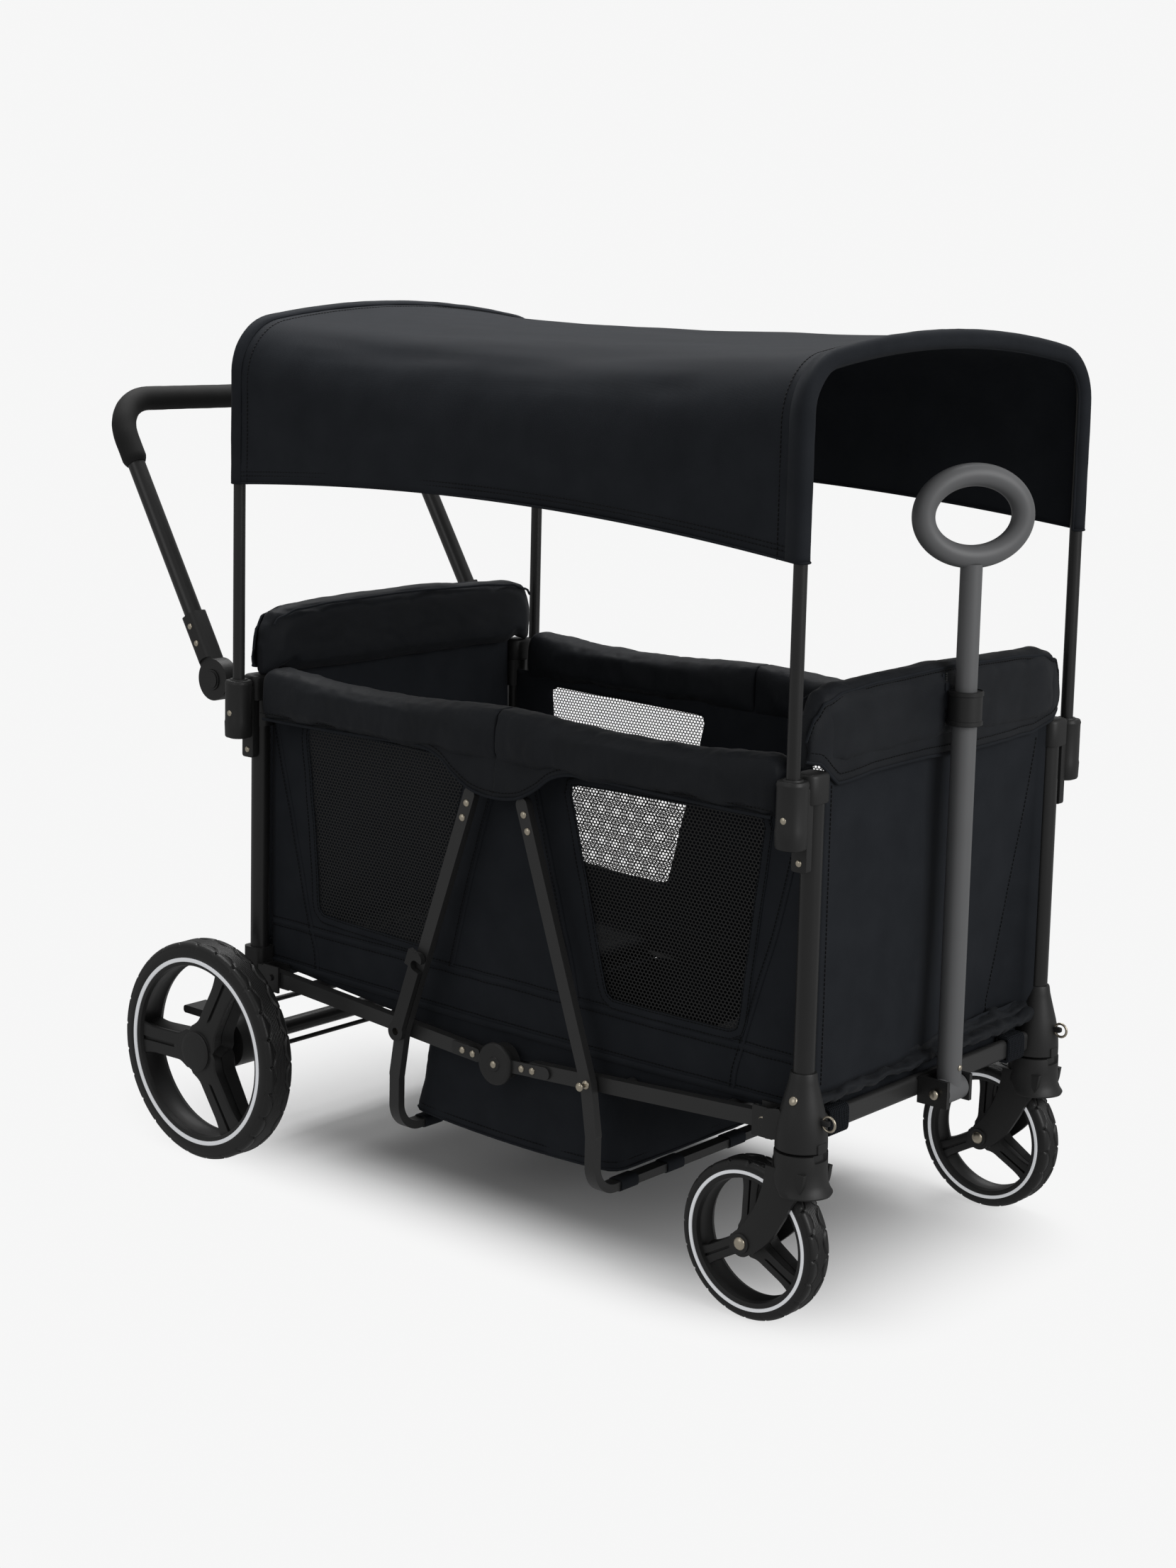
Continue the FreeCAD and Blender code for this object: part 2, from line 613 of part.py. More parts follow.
# ---- nodes -----------------------------------------------------------------------------------
def nodes():
    parts = {
        "front_posts": both_sides(post(0, FRONT_POST_FOOT)),
        "front_socket_left": front_socket(),
        "front_socket_right": mirror_x(front_socket()),
        "front_crossbar": crossbar(),
        "crossbar_straps": both_sides(crossbar_strap()),
        "socket_rings": both_sides(socket_ring()),
        "front_rail_brackets": both_sides(rail_bracket()),
        "handle_clevis": handle_clevis(),
        "front_rod_sockets": both_sides(rod_socket()),
        "front_hoop": canopy_hoop(0, FRONT_APEX),
        "front_cover": end_cover(),
        "front_panel": end_panel(),
        "canopy": canopy(),
        "side_panels": both_sides(side_panel()),
        "front_rails": front_rails(),
        "front_board": seat_board(),
        "rear_rails": rear_rails(),
        "rear_board": mirror_y(seat_board()),
        "front_u_frame": front_u_frame(),
        "front_arm_bolts": front_arm_bolts(),
        "footwell": footwell(),
        "rear_u_frame": mirror_y(front_u_frame()),
        "rear_arm_bolts": rear_arm_bolts(),
        "latch_hook": latch_hook(),
        "upper_front_rails": both_sides(upper_rail()),
        "front_rims": both_sides(padded_rim()),
        "upper_rear_rails": mirror_y(both_sides(upper_rail())),
        "rear_rims": mirror_y(both_sides(padded_rim())),
        "rear_posts": both_sides(post(LENGTH, REAR_POST_FOOT)),
        "rear_brackets": both_sides(rear_bracket()),
        "rear_axle": rear_axle(),
        "rear_rail_brackets": both_sides(rear_rail_bracket()),
        "brake_cable": brake_cable(),
        "rear_rod_sockets": mirror_y(both_sides(rod_socket())),
        "rear_hoop": canopy_hoop(LENGTH, REAR_APEX),
        "rear_cover": mirror_y(end_cover()),
        "rear_panel": mirror_y(end_panel()),
        "handle_brackets": both_sides(handle_bracket()),
        "brake_pedals": brake_pedals(),
        "push_tube": push_tube(),
        "push_grip": push_grip(),
        "push_hubs": both_sides(push_hub()),
        "push_button_left": push_button(),
        "push_button_right": mirror_x(push_button()),
        "pull_tube": pull_tube(),
        "pull_collar": pull_collar(),
        "pull_upper_tube": pull_upper_tube(),
        "pull_grip": grip_ring(),
        "fork_left": fork(),
        "fork_right": mirror_x(fork()),
        "front_tyre_left": front_tyre(),
        "front_tyre_right": mirror_x(front_tyre()),
        "front_rim_left": front_rim(),
        "front_rim_right": mirror_x(front_rim()),
        "rear_tyre_left": rear_tyre(),
        "rear_tyre_right": mirror_x(rear_tyre()),
        "rear_rim_left": rear_rim(),
        "rear_rim_right": mirror_x(rear_rim()),
    }
    return parts


def export():
    os.makedirs("parts", exist_ok=True)
    for name, shape in nodes().items():
        shape.translate(V(0, -Y_ORIGIN, 0))
        shape.exportStep("parts/" + name + ".step")
        b = shape.optimalBoundingBox()
        state = "ok" if shape.isValid() else "INVALID"
        print(f"{name:22s} {state} solids {len(shape.Solids)} vol {shape.Volume / 1000:.1f} "
              f"x {b.XMin:.1f}..{b.XMax:.1f} y {b.YMin:.1f}..{b.YMax:.1f} z {b.ZMin:.1f}..{b.ZMax:.1f}")


export()
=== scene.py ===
import json
import logging
import math
from dataclasses import dataclass
from enum import Enum
from typing import Callable, Optional, Sequence

import bmesh
import bpy
from mathutils import Matrix, Vector, noise
from mathutils.geometry import delaunay_2d_cdt


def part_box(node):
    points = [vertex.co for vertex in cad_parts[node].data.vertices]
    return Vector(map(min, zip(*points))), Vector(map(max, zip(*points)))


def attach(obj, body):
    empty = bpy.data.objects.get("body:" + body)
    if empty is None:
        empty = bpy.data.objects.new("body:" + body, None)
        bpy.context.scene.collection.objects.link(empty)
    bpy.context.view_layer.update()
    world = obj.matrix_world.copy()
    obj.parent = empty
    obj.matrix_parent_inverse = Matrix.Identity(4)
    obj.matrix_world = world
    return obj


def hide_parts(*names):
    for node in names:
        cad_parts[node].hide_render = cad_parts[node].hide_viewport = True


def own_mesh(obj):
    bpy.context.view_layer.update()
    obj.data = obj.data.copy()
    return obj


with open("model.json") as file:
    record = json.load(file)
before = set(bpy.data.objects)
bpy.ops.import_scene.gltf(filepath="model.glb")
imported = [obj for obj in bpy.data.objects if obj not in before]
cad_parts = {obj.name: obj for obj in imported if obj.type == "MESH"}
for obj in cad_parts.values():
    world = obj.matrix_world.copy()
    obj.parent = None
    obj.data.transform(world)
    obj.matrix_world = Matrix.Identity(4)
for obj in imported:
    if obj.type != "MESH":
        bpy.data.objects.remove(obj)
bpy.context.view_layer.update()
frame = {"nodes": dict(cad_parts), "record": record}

LOG = logging.getLogger("pull_wagon")
MM = 0.001
SIDES = (-1, 1)
Point2 = tuple[float, float]
Outline = Sequence[Point2]
Piece = bpy.types.Object
Tree = bpy.types.NodeTree
Socket = bpy.types.NodeSocket


class Side(Enum):
    """The two sides of the wagon; the value is the sign of X."""

    RIGHT = -1
    LEFT = 1


class End(Enum):
    """The two ends of the wagon."""

    FRONT = "front"
    REAR = "rear"

    def __str__(self) -> str:
        """The word used in names of pieces, nodes and bodies."""
        return self.value


# ---- places read from the frame ----
def clamp(value: float) -> float:
    """The value, kept between 0 and 1."""
    return max(0.0, min(1.0, value))


def ripple(x: float, y: float, z: float) -> float:
    """Smooth noise at a place, from about -1 to 1."""
    return noise.noise(Vector((x, y, z)))


def sideways(sign: int) -> Vector:
    """The way out of the wagon on one side."""
    return Vector((sign, 0, 0))


def middle(node: str) -> Vector:
    """Centre of a CAD node's box."""
    low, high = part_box(node)
    return (Vector(low) + Vector(high)) / 2


@dataclass(frozen=True)
class Datum:
    """Planes that every sub-assembly is set out from, in millimetres from the front post plane."""

    front_y: float
    length: float

    def at(self, x: float, y: float, z: float) -> Vector:
        """Millimetres from the front post plane to a point in the wagon's frame.

        Args:
            x: distance to the wagon's left.
            y: distance back from the front posts.
            z: height above the floor.

        Returns:
            The point in metres.
        """
        return Vector((x * MM, self.front_y + y * MM, z * MM))

    def near(self, end: End, x: float, y: float, z: float) -> Vector:
        """Like at(), with y measured inwards from the posts of either end."""
        return self.at(x, y if end is End.FRONT else self.length - y, z)


DATUM = Datum(middle("front_posts").y, (middle("rear_posts").y - middle("front_posts").y) / MM)
MID = DATUM.length / 2
RAIL_PIVOT = (40.0, 230.0)
RAIL_RUN = (MID - 40.0, 25.0)
ARM_BOLT = (283.5, 216.0)
ARM_TOP = (391.0, 524.0)
HINGE_Z = 205.0
CASTER_X = 240.0
ROD_X = 278.0
PUFF_PRESSURE = 4.0
PUFF_FRAMES = 20
PAD_VOXEL = 5.0
PAD_REACH = 6.0
PULL_Y = -31.0
PUSH_PIVOT = (929.0, 604.0)
PUSH_LEAN = math.radians(31.6)


# ---- shader groups ----
def group_tree(name: str, inputs: dict[str, float], outputs: Sequence[str]) -> Tree:
    """Starts a shader node group with float inputs and outputs."""
    tree = bpy.data.node_groups.new(name, "ShaderNodeTree")
    for label, value in inputs.items():
        socket = tree.interface.new_socket(label, in_out="INPUT", socket_type="NodeSocketFloat")
        socket.default_value = value
    for label in outputs:
        tree.interface.new_socket(label, in_out="OUTPUT", socket_type="NodeSocketFloat")
    return tree


def maths(tree: Tree, operation: str, *values: object) -> Socket:
    """Adds one Math node; each value is a number or a socket to link."""
    node = tree.nodes.new("ShaderNodeMath")
    node.operation = operation
    for slot, value in zip(node.inputs, values):
        if isinstance(value, (int, float)):
            slot.default_value = value
        else:
            tree.links.new(value, slot)
    return node.outputs[0]


def noise_node(tree: Tree, scale: object, detail: float = 2.0) -> Socket:
    """Noise over Object coordinates, scale per metre."""
    place = tree.nodes.new("ShaderNodeTexCoord")
    node = tree.nodes.new("ShaderNodeTexNoise")
    node.inputs["Detail"].default_value = detail
    if isinstance(scale, (int, float)):
        node.inputs["Scale"].default_value = scale
    else:
        tree.links.new(scale, node.inputs["Scale"])
    tree.links.new(place.outputs["Object"], node.inputs["Vector"])
    return node.outputs["Fac"]


def weave_group() -> Tree:
    """Threads crossing at right angles, with slubs and a slow change of tone."""
    tree = group_tree("woven_threads", {"Pitch mm": 0.9, "Mottle mm": 45.0}, ("Height", "Tone"))
    node, link = tree.nodes.new, tree.links.new
    ins, outs = node("NodeGroupInput"), node("NodeGroupOutput")
    place = node("ShaderNodeTexCoord")
    split = node("ShaderNodeSeparateXYZ")
    link(place.outputs["Object"], split.inputs[0])
    rate = maths(tree, "DIVIDE", 2000 * math.pi, ins.outputs["Pitch mm"])
    x, y, z = (maths(tree, "SINE", maths(tree, "MULTIPLY", split.outputs[k], rate)) for k in range(3))
    crossed = maths(tree, "ADD", maths(tree, "MULTIPLY", x, y), maths(tree, "MULTIPLY", y, z))
    threads = maths(tree, "ADD", crossed, maths(tree, "MULTIPLY", z, x))
    slub = noise_node(tree, 900.0, 1.0)
    height = maths(tree, "ADD", maths(tree, "MULTIPLY", threads, 0.3), maths(tree, "MULTIPLY", slub, 0.6))
    patches = noise_node(tree, maths(tree, "DIVIDE", 1000.0, ins.outputs["Mottle mm"]), 4.0)
    tone = maths(tree, "ADD", maths(tree, "MULTIPLY", patches, 0.8), maths(tree, "MULTIPLY", slub, 0.2))
    link(height, outs.inputs["Height"])
    link(tone, outs.inputs["Tone"])
    return tree


def grain_group() -> Tree:
    """Fine moulding or powder-coat grain with a slow change of tone."""
    tree = group_tree("fine_grain", {"Grain mm": 1.2}, ("Height", "Tone"))
    ins, outs = tree.nodes.new("NodeGroupInput"), tree.nodes.new("NodeGroupOutput")
    fine = noise_node(tree, maths(tree, "DIVIDE", 1000.0, ins.outputs["Grain mm"]), 3.0)
    slow = noise_node(tree, 14.0, 3.0)
    tree.links.new(fine, outs.inputs["Height"])
    both = maths(tree, "ADD", maths(tree, "MULTIPLY", fine, 0.35), maths(tree, "MULTIPLY", slow, 0.65))
    tree.links.new(both, outs.inputs["Tone"])
    return tree


def dust_group() -> Tree:
    """Mask of the faint dust that settles on faces that look up."""
    tree = group_tree("settled_dust", {"Amount": 0.1}, ("Mask",))
    ins, outs = tree.nodes.new("NodeGroupInput"), tree.nodes.new("NodeGroupOutput")
    shape = tree.nodes.new("ShaderNodeNewGeometry")
    split = tree.nodes.new("ShaderNodeSeparateXYZ")
    tree.links.new(shape.outputs["Normal"], split.inputs[0])
    upward = maths(tree, "POWER", maths(tree, "MAXIMUM", split.outputs[2], 0.0), 3.0)
    specks = noise_node(tree, 60.0, 5.0)
    mask = maths(tree, "MULTIPLY", maths(tree, "MULTIPLY", upward, specks), ins.outputs["Amount"])
    tree.links.new(mask, outs.inputs["Mask"])
    return tree


WEAVE, GRAIN, DUST = weave_group(), grain_group(), dust_group()
Colour = tuple[float, float, float]


# ---- finishes ----
@dataclass(frozen=True)
class Finish:
    """One surface finish: two tones of colour, a relief group and the shader's plain values."""

    name: str
    slot: str
    dark: Colour
    light: Colour
    rough: tuple[float, float]
    relief: str
    size_mm: float
    depth: float
    bump: float = 0.35
    metallic: float = 0.0
    specular: float = 0.5
    sheen: float = 0.0
    coat: float = 0.0
    dust: float = 0.06
    glow: float = 0.0

    def material(self) -> bpy.types.Material:
        """The Blender material, built on first use."""
        if self.name in bpy.data.materials:
            return bpy.data.materials[self.name]
        made = bpy.data.materials.new(self.name)
        made.use_nodes = True
        tree = made.node_tree
        link = tree.links.new
        shader = tree.nodes["Principled BSDF"]
        for label, value in (("Metallic", self.metallic), ("Specular IOR Level", self.specular),
                             ("Sheen Weight", self.sheen), ("Sheen Roughness", 0.45),
                             ("Coat Weight", self.coat), ("Coat Roughness", 0.25)):
            shader.inputs[label].default_value = value
        # Emission in the finish's light tone at strength glow: a painted glow, above zero only on the white
        # wheel bands.
        shader.inputs["Emission Color"].default_value = (*self.light, 1.0)
        shader.inputs["Emission Strength"].default_value = self.glow
        surface = self.place(tree, WEAVE if self.relief == "weave" else GRAIN)
        surface.inputs[0].default_value = self.size_mm
        dust = self.place(tree, DUST)
        dust.inputs["Amount"].default_value = self.dust
        tones = self.mix(tree, surface.outputs["Tone"], self.dark, self.light)
        dusty = self.mix(tree, dust.outputs["Mask"], tones, (0.16, 0.155, 0.15))
        link(dusty, shader.inputs["Base Color"])
        spread = self.rough[1] - self.rough[0]
        rough = maths(tree, "MULTIPLY_ADD", surface.outputs["Tone"], spread, self.rough[0])
        link(rough, shader.inputs["Roughness"])
        bump = tree.nodes.new("ShaderNodeBump")
        bump.inputs["Strength"].default_value = self.bump
        bump.inputs["Distance"].default_value = self.depth * MM
        link(surface.outputs["Height"], bump.inputs["Height"])
        link(bump.outputs["Normal"], shader.inputs["Normal"])
        return made

    @staticmethod
    def place(tree: Tree, group: Tree) -> bpy.types.Node:
        """Puts one node group into a material."""
        node = tree.nodes.new("ShaderNodeGroup")
        node.node_tree = group
        return node

    @staticmethod
    def mix(tree: Tree, factor: object, a: object, b: Colour) -> Socket:
        """Mixes two colours by a factor socket."""
        node = tree.nodes.new("ShaderNodeMix")
        node.data_type = "RGBA"
        tree.links.new(factor, node.inputs["Factor"])
        if isinstance(a, tuple):
            node.inputs["A"].default_value = (*a, 1.0)
        else:
            tree.links.new(a, node.inputs["A"])
        node.inputs["B"].default_value = (*b, 1.0)
        return node.outputs["Result"]


def grey(value: float, blue: float = 0.0) -> Colour:
    """A grey, a little blue where asked."""
    return (value, value * (1 + blue * 0.35), value * (1 + blue))


STEEL = Finish("satin_black_steel", "steel_black", grey(0.011), grey(0.019), (0.30, 0.42), "grain", 0.6, 0.03,
               coat=0.15)
TUBE = Finish("charcoal_steel", "tube_dark", grey(0.026), grey(0.038), (0.36, 0.48), "grain", 0.7, 0.04,
              coat=0.1)
HANDLE = Finish("grey_handle", "tube_dark", grey(0.135, 0.04), grey(0.170, 0.04), (0.40, 0.50), "grain",
                0.7, 0.04)
PLASTIC = Finish("moulded_charcoal", "plastic_charcoal", grey(0.014), grey(0.022), (0.42, 0.55), "grain",
                 0.8, 0.07)
CLOTH = Finish("navy_black_cloth", "fabric_black", grey(0.0165, 0.34), grey(0.0320, 0.28), (0.50, 0.68),
               "weave", 1.1, 0.18, specular=0.03, sheen=0.02, dust=0.02)
LINING = Finish("padded_cloth", "fabric_black", grey(0.0120, 0.30), grey(0.0280, 0.25), (0.42, 0.60), "weave",
                1.3, 0.22, specular=0.10, sheen=0.03, dust=0.02)
NET = Finish("net_yarn", "mesh_black", grey(0.005), grey(0.010), (0.5, 0.65), "grain", 0.5, 0.05)
THREAD = Finish("sewing_thread", "fabric_black", grey(0.0025), grey(0.005), (0.6, 0.7), "grain", 0.3, 0.03,
                specular=0.2)
FOAM = Finish("soft_foam", "foam_black", grey(0.009), grey(0.015), (0.7, 0.85), "grain", 0.9, 0.25, bump=0.6,
              specular=0.35)
RUBBER = Finish("tyre_rubber", "tyre_black", grey(0.009), grey(0.018), (0.34, 0.50), "grain", 1.5, 0.12)
# White wheel bands: glow=0.30 makes them emit light, a painted glow that brightens them beyond what the lamps
# give.
RING = Finish("reflective_band", "ring_white", grey(0.70, 0.06), grey(0.86, 0.05), (0.3, 0.4), "grain", 0.5,
              0.02, dust=0.0, glow=0.30)
ZINC = Finish("yellow_zinc", "zinc", (0.52, 0.46, 0.36), (0.78, 0.71, 0.58), (0.25, 0.4), "grain", 0.4, 0.03,
              metallic=1.0, dust=0.0)


# ---- mesh building ----
def arc(centre: Point2, radius: float, start: float, stop: float, steps: int) -> list[Point2]:
    """Points on a circular arc, angles in degrees."""
    turns = [math.radians(start + (stop - start) * k / steps) for k in range(steps + 1)]
    return [(centre[0] + radius * math.cos(t), centre[1] + radius * math.sin(t)) for t in turns]


def rounded(points: Outline, radius: float, steps: int = 5) -> list[Point2]:
    """A closed outline with its corners rounded by quadratic curves."""
    out: list[Point2] = []
    for k, here in enumerate(points):
        p, a, b = Vector(here), Vector(points[k - 1]), Vector(points[(k + 1) % len(points)])
        cut_a = min(radius, (a - p).length * 0.48)
        cut_b = min(radius, (b - p).length * 0.48)
        start, stop = p + (a - p).normalized() * cut_a, p + (b - p).normalized() * cut_b
        for i in range(steps + 1):
            t = i / steps
            q = start * (1 - t) ** 2 + p * (2 * t * (1 - t)) + stop * t * t
            out.append((q.x, q.y))
    return out


def spaced(points: Sequence[Vector], count: int, closed: bool = False) -> list[Vector]:
    """The same polyline with points evenly spaced along it."""
    line = list(points) + ([points[0]] if closed else [])
    lengths = [0.0]
    for a, b in zip(line, line[1:]):
        lengths.append(lengths[-1] + (b - a).length)
    out, seg = [], 0
    for k in range(count):
        want = lengths[-1] * k / (count if closed else count - 1)
        while seg < len(line) - 2 and lengths[seg + 1] < want:
            seg += 1
        span = max(lengths[seg + 1] - lengths[seg], 1e-9)
        out.append(line[seg].lerp(line[seg + 1], min(1.0, (want - lengths[seg]) / span)))
    return out


def smooth_line(points: Sequence[Vector], steps: int = 8) -> list[Vector]:
    """Catmull-Rom curve through the points."""
    line = [points[0] * 2 - points[1], *points, points[-1] * 2 - points[-2]]
    out = []
    for p0, p1, p2, p3 in zip(line, line[1:], line[2:], line[3:]):
        for i in range(steps):
            t = i / steps
            out.append(0.5 * (2 * p1 + (p2 - p0) * t + (2 * p0 - 5 * p1 + 4 * p2 - p3) * t * t
                              + (3 * p1 - p0 - 3 * p2 + p3) * t ** 3))
    return out + [points[-1]]


def placed(name: str, data: bpy.types.ID) -> Piece:
    """A new object that holds the data, linked into the scene."""
    piece = bpy.data.objects.new(name, data)
    bpy.context.scene.collection.objects.link(piece)
    return piece


class Shape:
    """Collects points and faces in metres, then becomes one mesh piece."""

    def __init__(self) -> None:
        """Starts empty."""
        self.points: list[Vector] = []
        self.faces: list[Sequence[int]] = []

    def grid(self, rows: Sequence[Sequence[Vector]], wrap_row: bool = False, wrap_rows: bool = False,
             caps: bool = False) -> "Shape":
        """Adds a grid of quads through rows of points.

        Args:
            rows: equal-length rows of points.
            wrap_row: each row is a closed ring.
            wrap_rows: the last row joins the first.
            caps: closes both end rings with one face each.

        Returns:
            This shape.
        """
        base, n = len(self.points), len(rows[0])
        for row in rows:
            self.points.extend(row)
        for r in range(len(rows) if wrap_rows else len(rows) - 1):
            a, b = base + r * n, base + ((r + 1) % len(rows)) * n
            for k in range(n if wrap_row else n - 1):
                j = (k + 1) % n
                self.faces.append((a + k, a + j, b + j, b + k))
        if caps:
            self.faces.append([base + k for k in range(n)][::-1])
            self.faces.append([base + (len(rows) - 1) * n + k for k in range(n)])
        return self

    def add(self, other: "Shape") -> None:
        """Takes in another shape's points and faces."""
        base = len(self.points)
        self.points += other.points
        self.faces += [[base + k for k in f] for f in other.faces]

    def lathe(self, profile: Outline, centre: Vector, axis: str = "X", steps: int = 72) -> "Shape":
        """Turns a closed outline of (along the axis, radius) in millimetres about an axis."""
        rows = []
        for k in range(steps):
            t = 2 * math.pi * k / steps
            c, s = math.cos(t), math.sin(t)
            if axis == "X":
                rows.append([centre + Vector((a, r * c, r * s)) * MM for a, r in profile])
            else:
                rows.append([centre + Vector((r * c, r * s, a)) * MM for a, r in profile])
        return self.grid(rows, wrap_row=True, wrap_rows=True)

    def plate(self, outline: Sequence[Vector], depth: Vector) -> "Shape":
        """Adds a flat outline pushed out along depth."""
        base, n = len(self.points), len(outline)
        self.points += [*outline, *(p + depth for p in outline)]
        self.faces.append(list(range(base, base + n)))
        self.faces.append(list(range(base + n, base + 2 * n))[::-1])
        self.faces += [(base + k, base + (k + 1) % n, base + n + (k + 1) % n, base + n + k) for k in range(n)]
        return self

    def sweep(self, path: Sequence[Vector], section: Outline, up: Vector, closed: bool = False,
              scale: Optional[Callable[[float], float]] = None) -> "Shape":
        """Carries a closed section in millimetres along a path.

        Args:
            path: points in metres.
            section: outline as (across, up) of the path.
            up: a direction that stays roughly up.
            closed: the path is a loop.
            scale: size of the section at a share of the path.

        Returns:
            This shape.
        """
        rows, n = [], len(path)
        for k, p in enumerate(path):
            a = path[(k - 1) % n] if closed or k else p
            b = path[(k + 1) % n] if closed or k < n - 1 else p
            along = (b - a).normalized()
            across = along.cross(up).normalized()
            lift = across.cross(along)
            f = (scale(k / (n - 1)) if scale else 1.0) * MM
            rows.append([p + across * (u * f) + lift * (v * f) for u, v in section])
        return self.grid(rows, wrap_row=True, wrap_rows=closed, caps=not closed)

    def build(self, name: str, finish: Finish, bevel: float = 0.0, sharp: float = 40.0,
              closed: bool = True) -> Piece:
        """Makes the piece.

        Args:
            name: the piece's name.
            finish: its surface finish.
            bevel: width in millimetres of the rounding on sharp edges.
            sharp: angle in degrees above which an edge stays sharp.
            closed: the shape is a closed solid, so its faces are turned outwards.

        Returns:
            The mesh object, at the origin.
        """
        mesh = bpy.data.meshes.new(name)
        mesh.from_pydata([p[:] for p in self.points], [], [list(f) for f in self.faces])
        work = bmesh.new()
        work.from_mesh(mesh)
        bmesh.ops.remove_doubles(work, verts=work.verts, dist=2e-6)
        if closed:
            bmesh.ops.recalc_face_normals(work, faces=work.faces)
        if bevel:
            limit = math.radians(32)
            edges = [e for e in work.edges if len(e.link_faces) == 2 and e.calc_face_angle(0.0) > limit]
            bmesh.ops.bevel(work, geom=edges, offset=bevel * MM, segments=3, profile=0.5, affect="EDGES",
                            clamp_overlap=True)
        work.to_mesh(mesh)
        work.free()
        mesh.shade_smooth()
        mesh.set_sharp_from_angle(angle=math.radians(sharp))
        mesh.materials.append(finish.material())
        return placed(name, mesh)


def circle(radius: float, steps: int = 12, flat: float = 1.0) -> list[Point2]:
    """A round or flattened section."""
    turns = [2 * math.pi * k / steps for k in range(steps)]
    return [(radius * math.cos(t), radius * flat * math.sin(t)) for t in turns]


def pillow(width: float, height: float, power: float = 0.55, steps: int = 28) -> list[Point2]:
    """Section of a padded sleeve: a box with very soft corners."""
    out = []
    for k in range(steps):
        t = 2 * math.pi * k / steps
        c, s = math.cos(t), math.sin(t)
        across, up = math.copysign(abs(c) ** power, c), math.copysign(abs(s) ** power, s)
        out.append((width / 2 * across, height / 2 * up))
    return out


def baked(piece: Piece) -> Piece:
    """Applies a piece's modifiers to a plain mesh."""
    graph = bpy.context.evaluated_depsgraph_get()
    result = piece.evaluated_get(graph)
    made = bpy.data.meshes.new_from_object(result, preserve_all_data_layers=True, depsgraph=graph)
    if piece.type == "MESH":
        piece.modifiers.clear()
        made.name = piece.data.name
        piece.data = made
        return piece
    name = piece.name
    plain = placed(name + "_mesh", made)
    bpy.data.objects.remove(piece)
    plain.name = name
    return plain


def thicken(piece: Piece, thickness: float) -> Piece:
    """Gives a cloth sheet its thickness in millimetres, inwards from its face."""
    solid = piece.modifiers.new("thickness", "SOLIDIFY")
    solid.thickness = thickness * MM
    solid.offset = 0.0
    return baked(piece)


def crumple(piece: Piece, size: float, height: float, stretch: Vector = Vector((1, 1, 1)),
            where: Optional[Callable[[Vector], float]] = None) -> None:
    """Pushes points along their normals by smooth noise, for creases in cloth.

    Args:
        piece: the mesh to crease.
        size: distance between creases in metres.
        height: height of the creases in metres.
        stretch: stretches the creases along an axis when below 1.
        where: how strong they are at a point, from 0 to 1.
    """
    normals = [v.normal.copy() for v in piece.data.vertices]
    for v, normal in zip(piece.data.vertices, normals):
        q = Vector(a * b for a, b in zip(v.co, stretch)) / size
        push = noise.noise(q) + 0.45 * noise.noise(q * 2.3 + Vector((7, 3, 1)))
        v.co += normal * (push * height * (where(v.co) if where else 1.0))


def stuff(piece: Piece, voxel: float, reach: float) -> Piece:
    """Puffs a padded shape with a short cloth run, each point kept within reach of where it began.

    Args:
        piece: a closed mesh.
        voxel: remesh size in millimetres.
        reach: furthest a point may move, in millimetres.

    Returns:
        The same piece, with its new mesh.
    """
    remesh = piece.modifiers.new("even", "REMESH")
    remesh.mode = "VOXEL"
    remesh.voxel_size = voxel * MM
    baked(piece)
    start = [v.co.copy() for v in piece.data.vertices]
    cloth = piece.modifiers.new("filling", "CLOTH")
    cloth.settings.use_pressure = True
    cloth.settings.uniform_pressure_force = PUFF_PRESSURE
    cloth.settings.effector_weights.gravity = 0.0
    cloth.point_cache.frame_start, cloth.point_cache.frame_end = 1, PUFF_FRAMES
    scene = bpy.context.scene
    for number in range(1, PUFF_FRAMES + 1):
        scene.frame_set(number)
    graph = bpy.context.evaluated_depsgraph_get()
    moved = [v.co.copy() for v in piece.evaluated_get(graph).data.vertices]
    piece.modifiers.clear()
    for v, a, b in zip(piece.data.vertices, start, moved):
        step = b - a
        v.co = a + step * min(1.0, reach * MM / max(step.length, 1e-9))
    scene.frame_set(1)
    finer = piece.modifiers.new("finer", "SUBSURF")
    finer.levels = finer.render_levels = 1
    baked(piece)
    piece.data.shade_smooth()
    return piece


# ---- repeated small things, made by Geometry Nodes ----
def geometry_tree(name: str, sizes: dict[str, float]) -> tuple[Tree, bpy.types.Node, bpy.types.Node]:
    """Starts a Geometry Nodes tree with named sizes and a material input."""
    tree = bpy.data.node_groups.new(name, "GeometryNodeTree")
    tree.interface.new_socket("Geometry", in_out="INPUT", socket_type="NodeSocketGeometry")
    for label, value in sizes.items():
        socket = tree.interface.new_socket(label, in_out="INPUT", socket_type="NodeSocketFloat")
        socket.default_value = value
    tree.interface.new_socket("Finish", in_out="INPUT", socket_type="NodeSocketMaterial")
    tree.interface.new_socket("Geometry", in_out="OUTPUT", socket_type="NodeSocketGeometry")
    return tree, tree.nodes.new("NodeGroupInput"), tree.nodes.new("NodeGroupOutput")


def finish_tree(tree: Tree, ins: bpy.types.Node, outs: bpy.types.Node,
                shape: Socket) -> Tree:
    """Ends a tree: realize the instances, shade them smooth and set their material."""
    node, link = tree.nodes.new, tree.links.new
    real = node("GeometryNodeRealizeInstances")
    smooth = node("GeometryNodeSetShadeSmooth")
    paint = node("GeometryNodeSetMaterial")
    link(shape, real.inputs[0])
    link(real.outputs[0], smooth.inputs[0])
    link(smooth.outputs[0], paint.inputs["Geometry"])
    link(ins.outputs["Finish"], paint.inputs["Material"])
    link(paint.outputs[0], outs.inputs[0])
    return tree


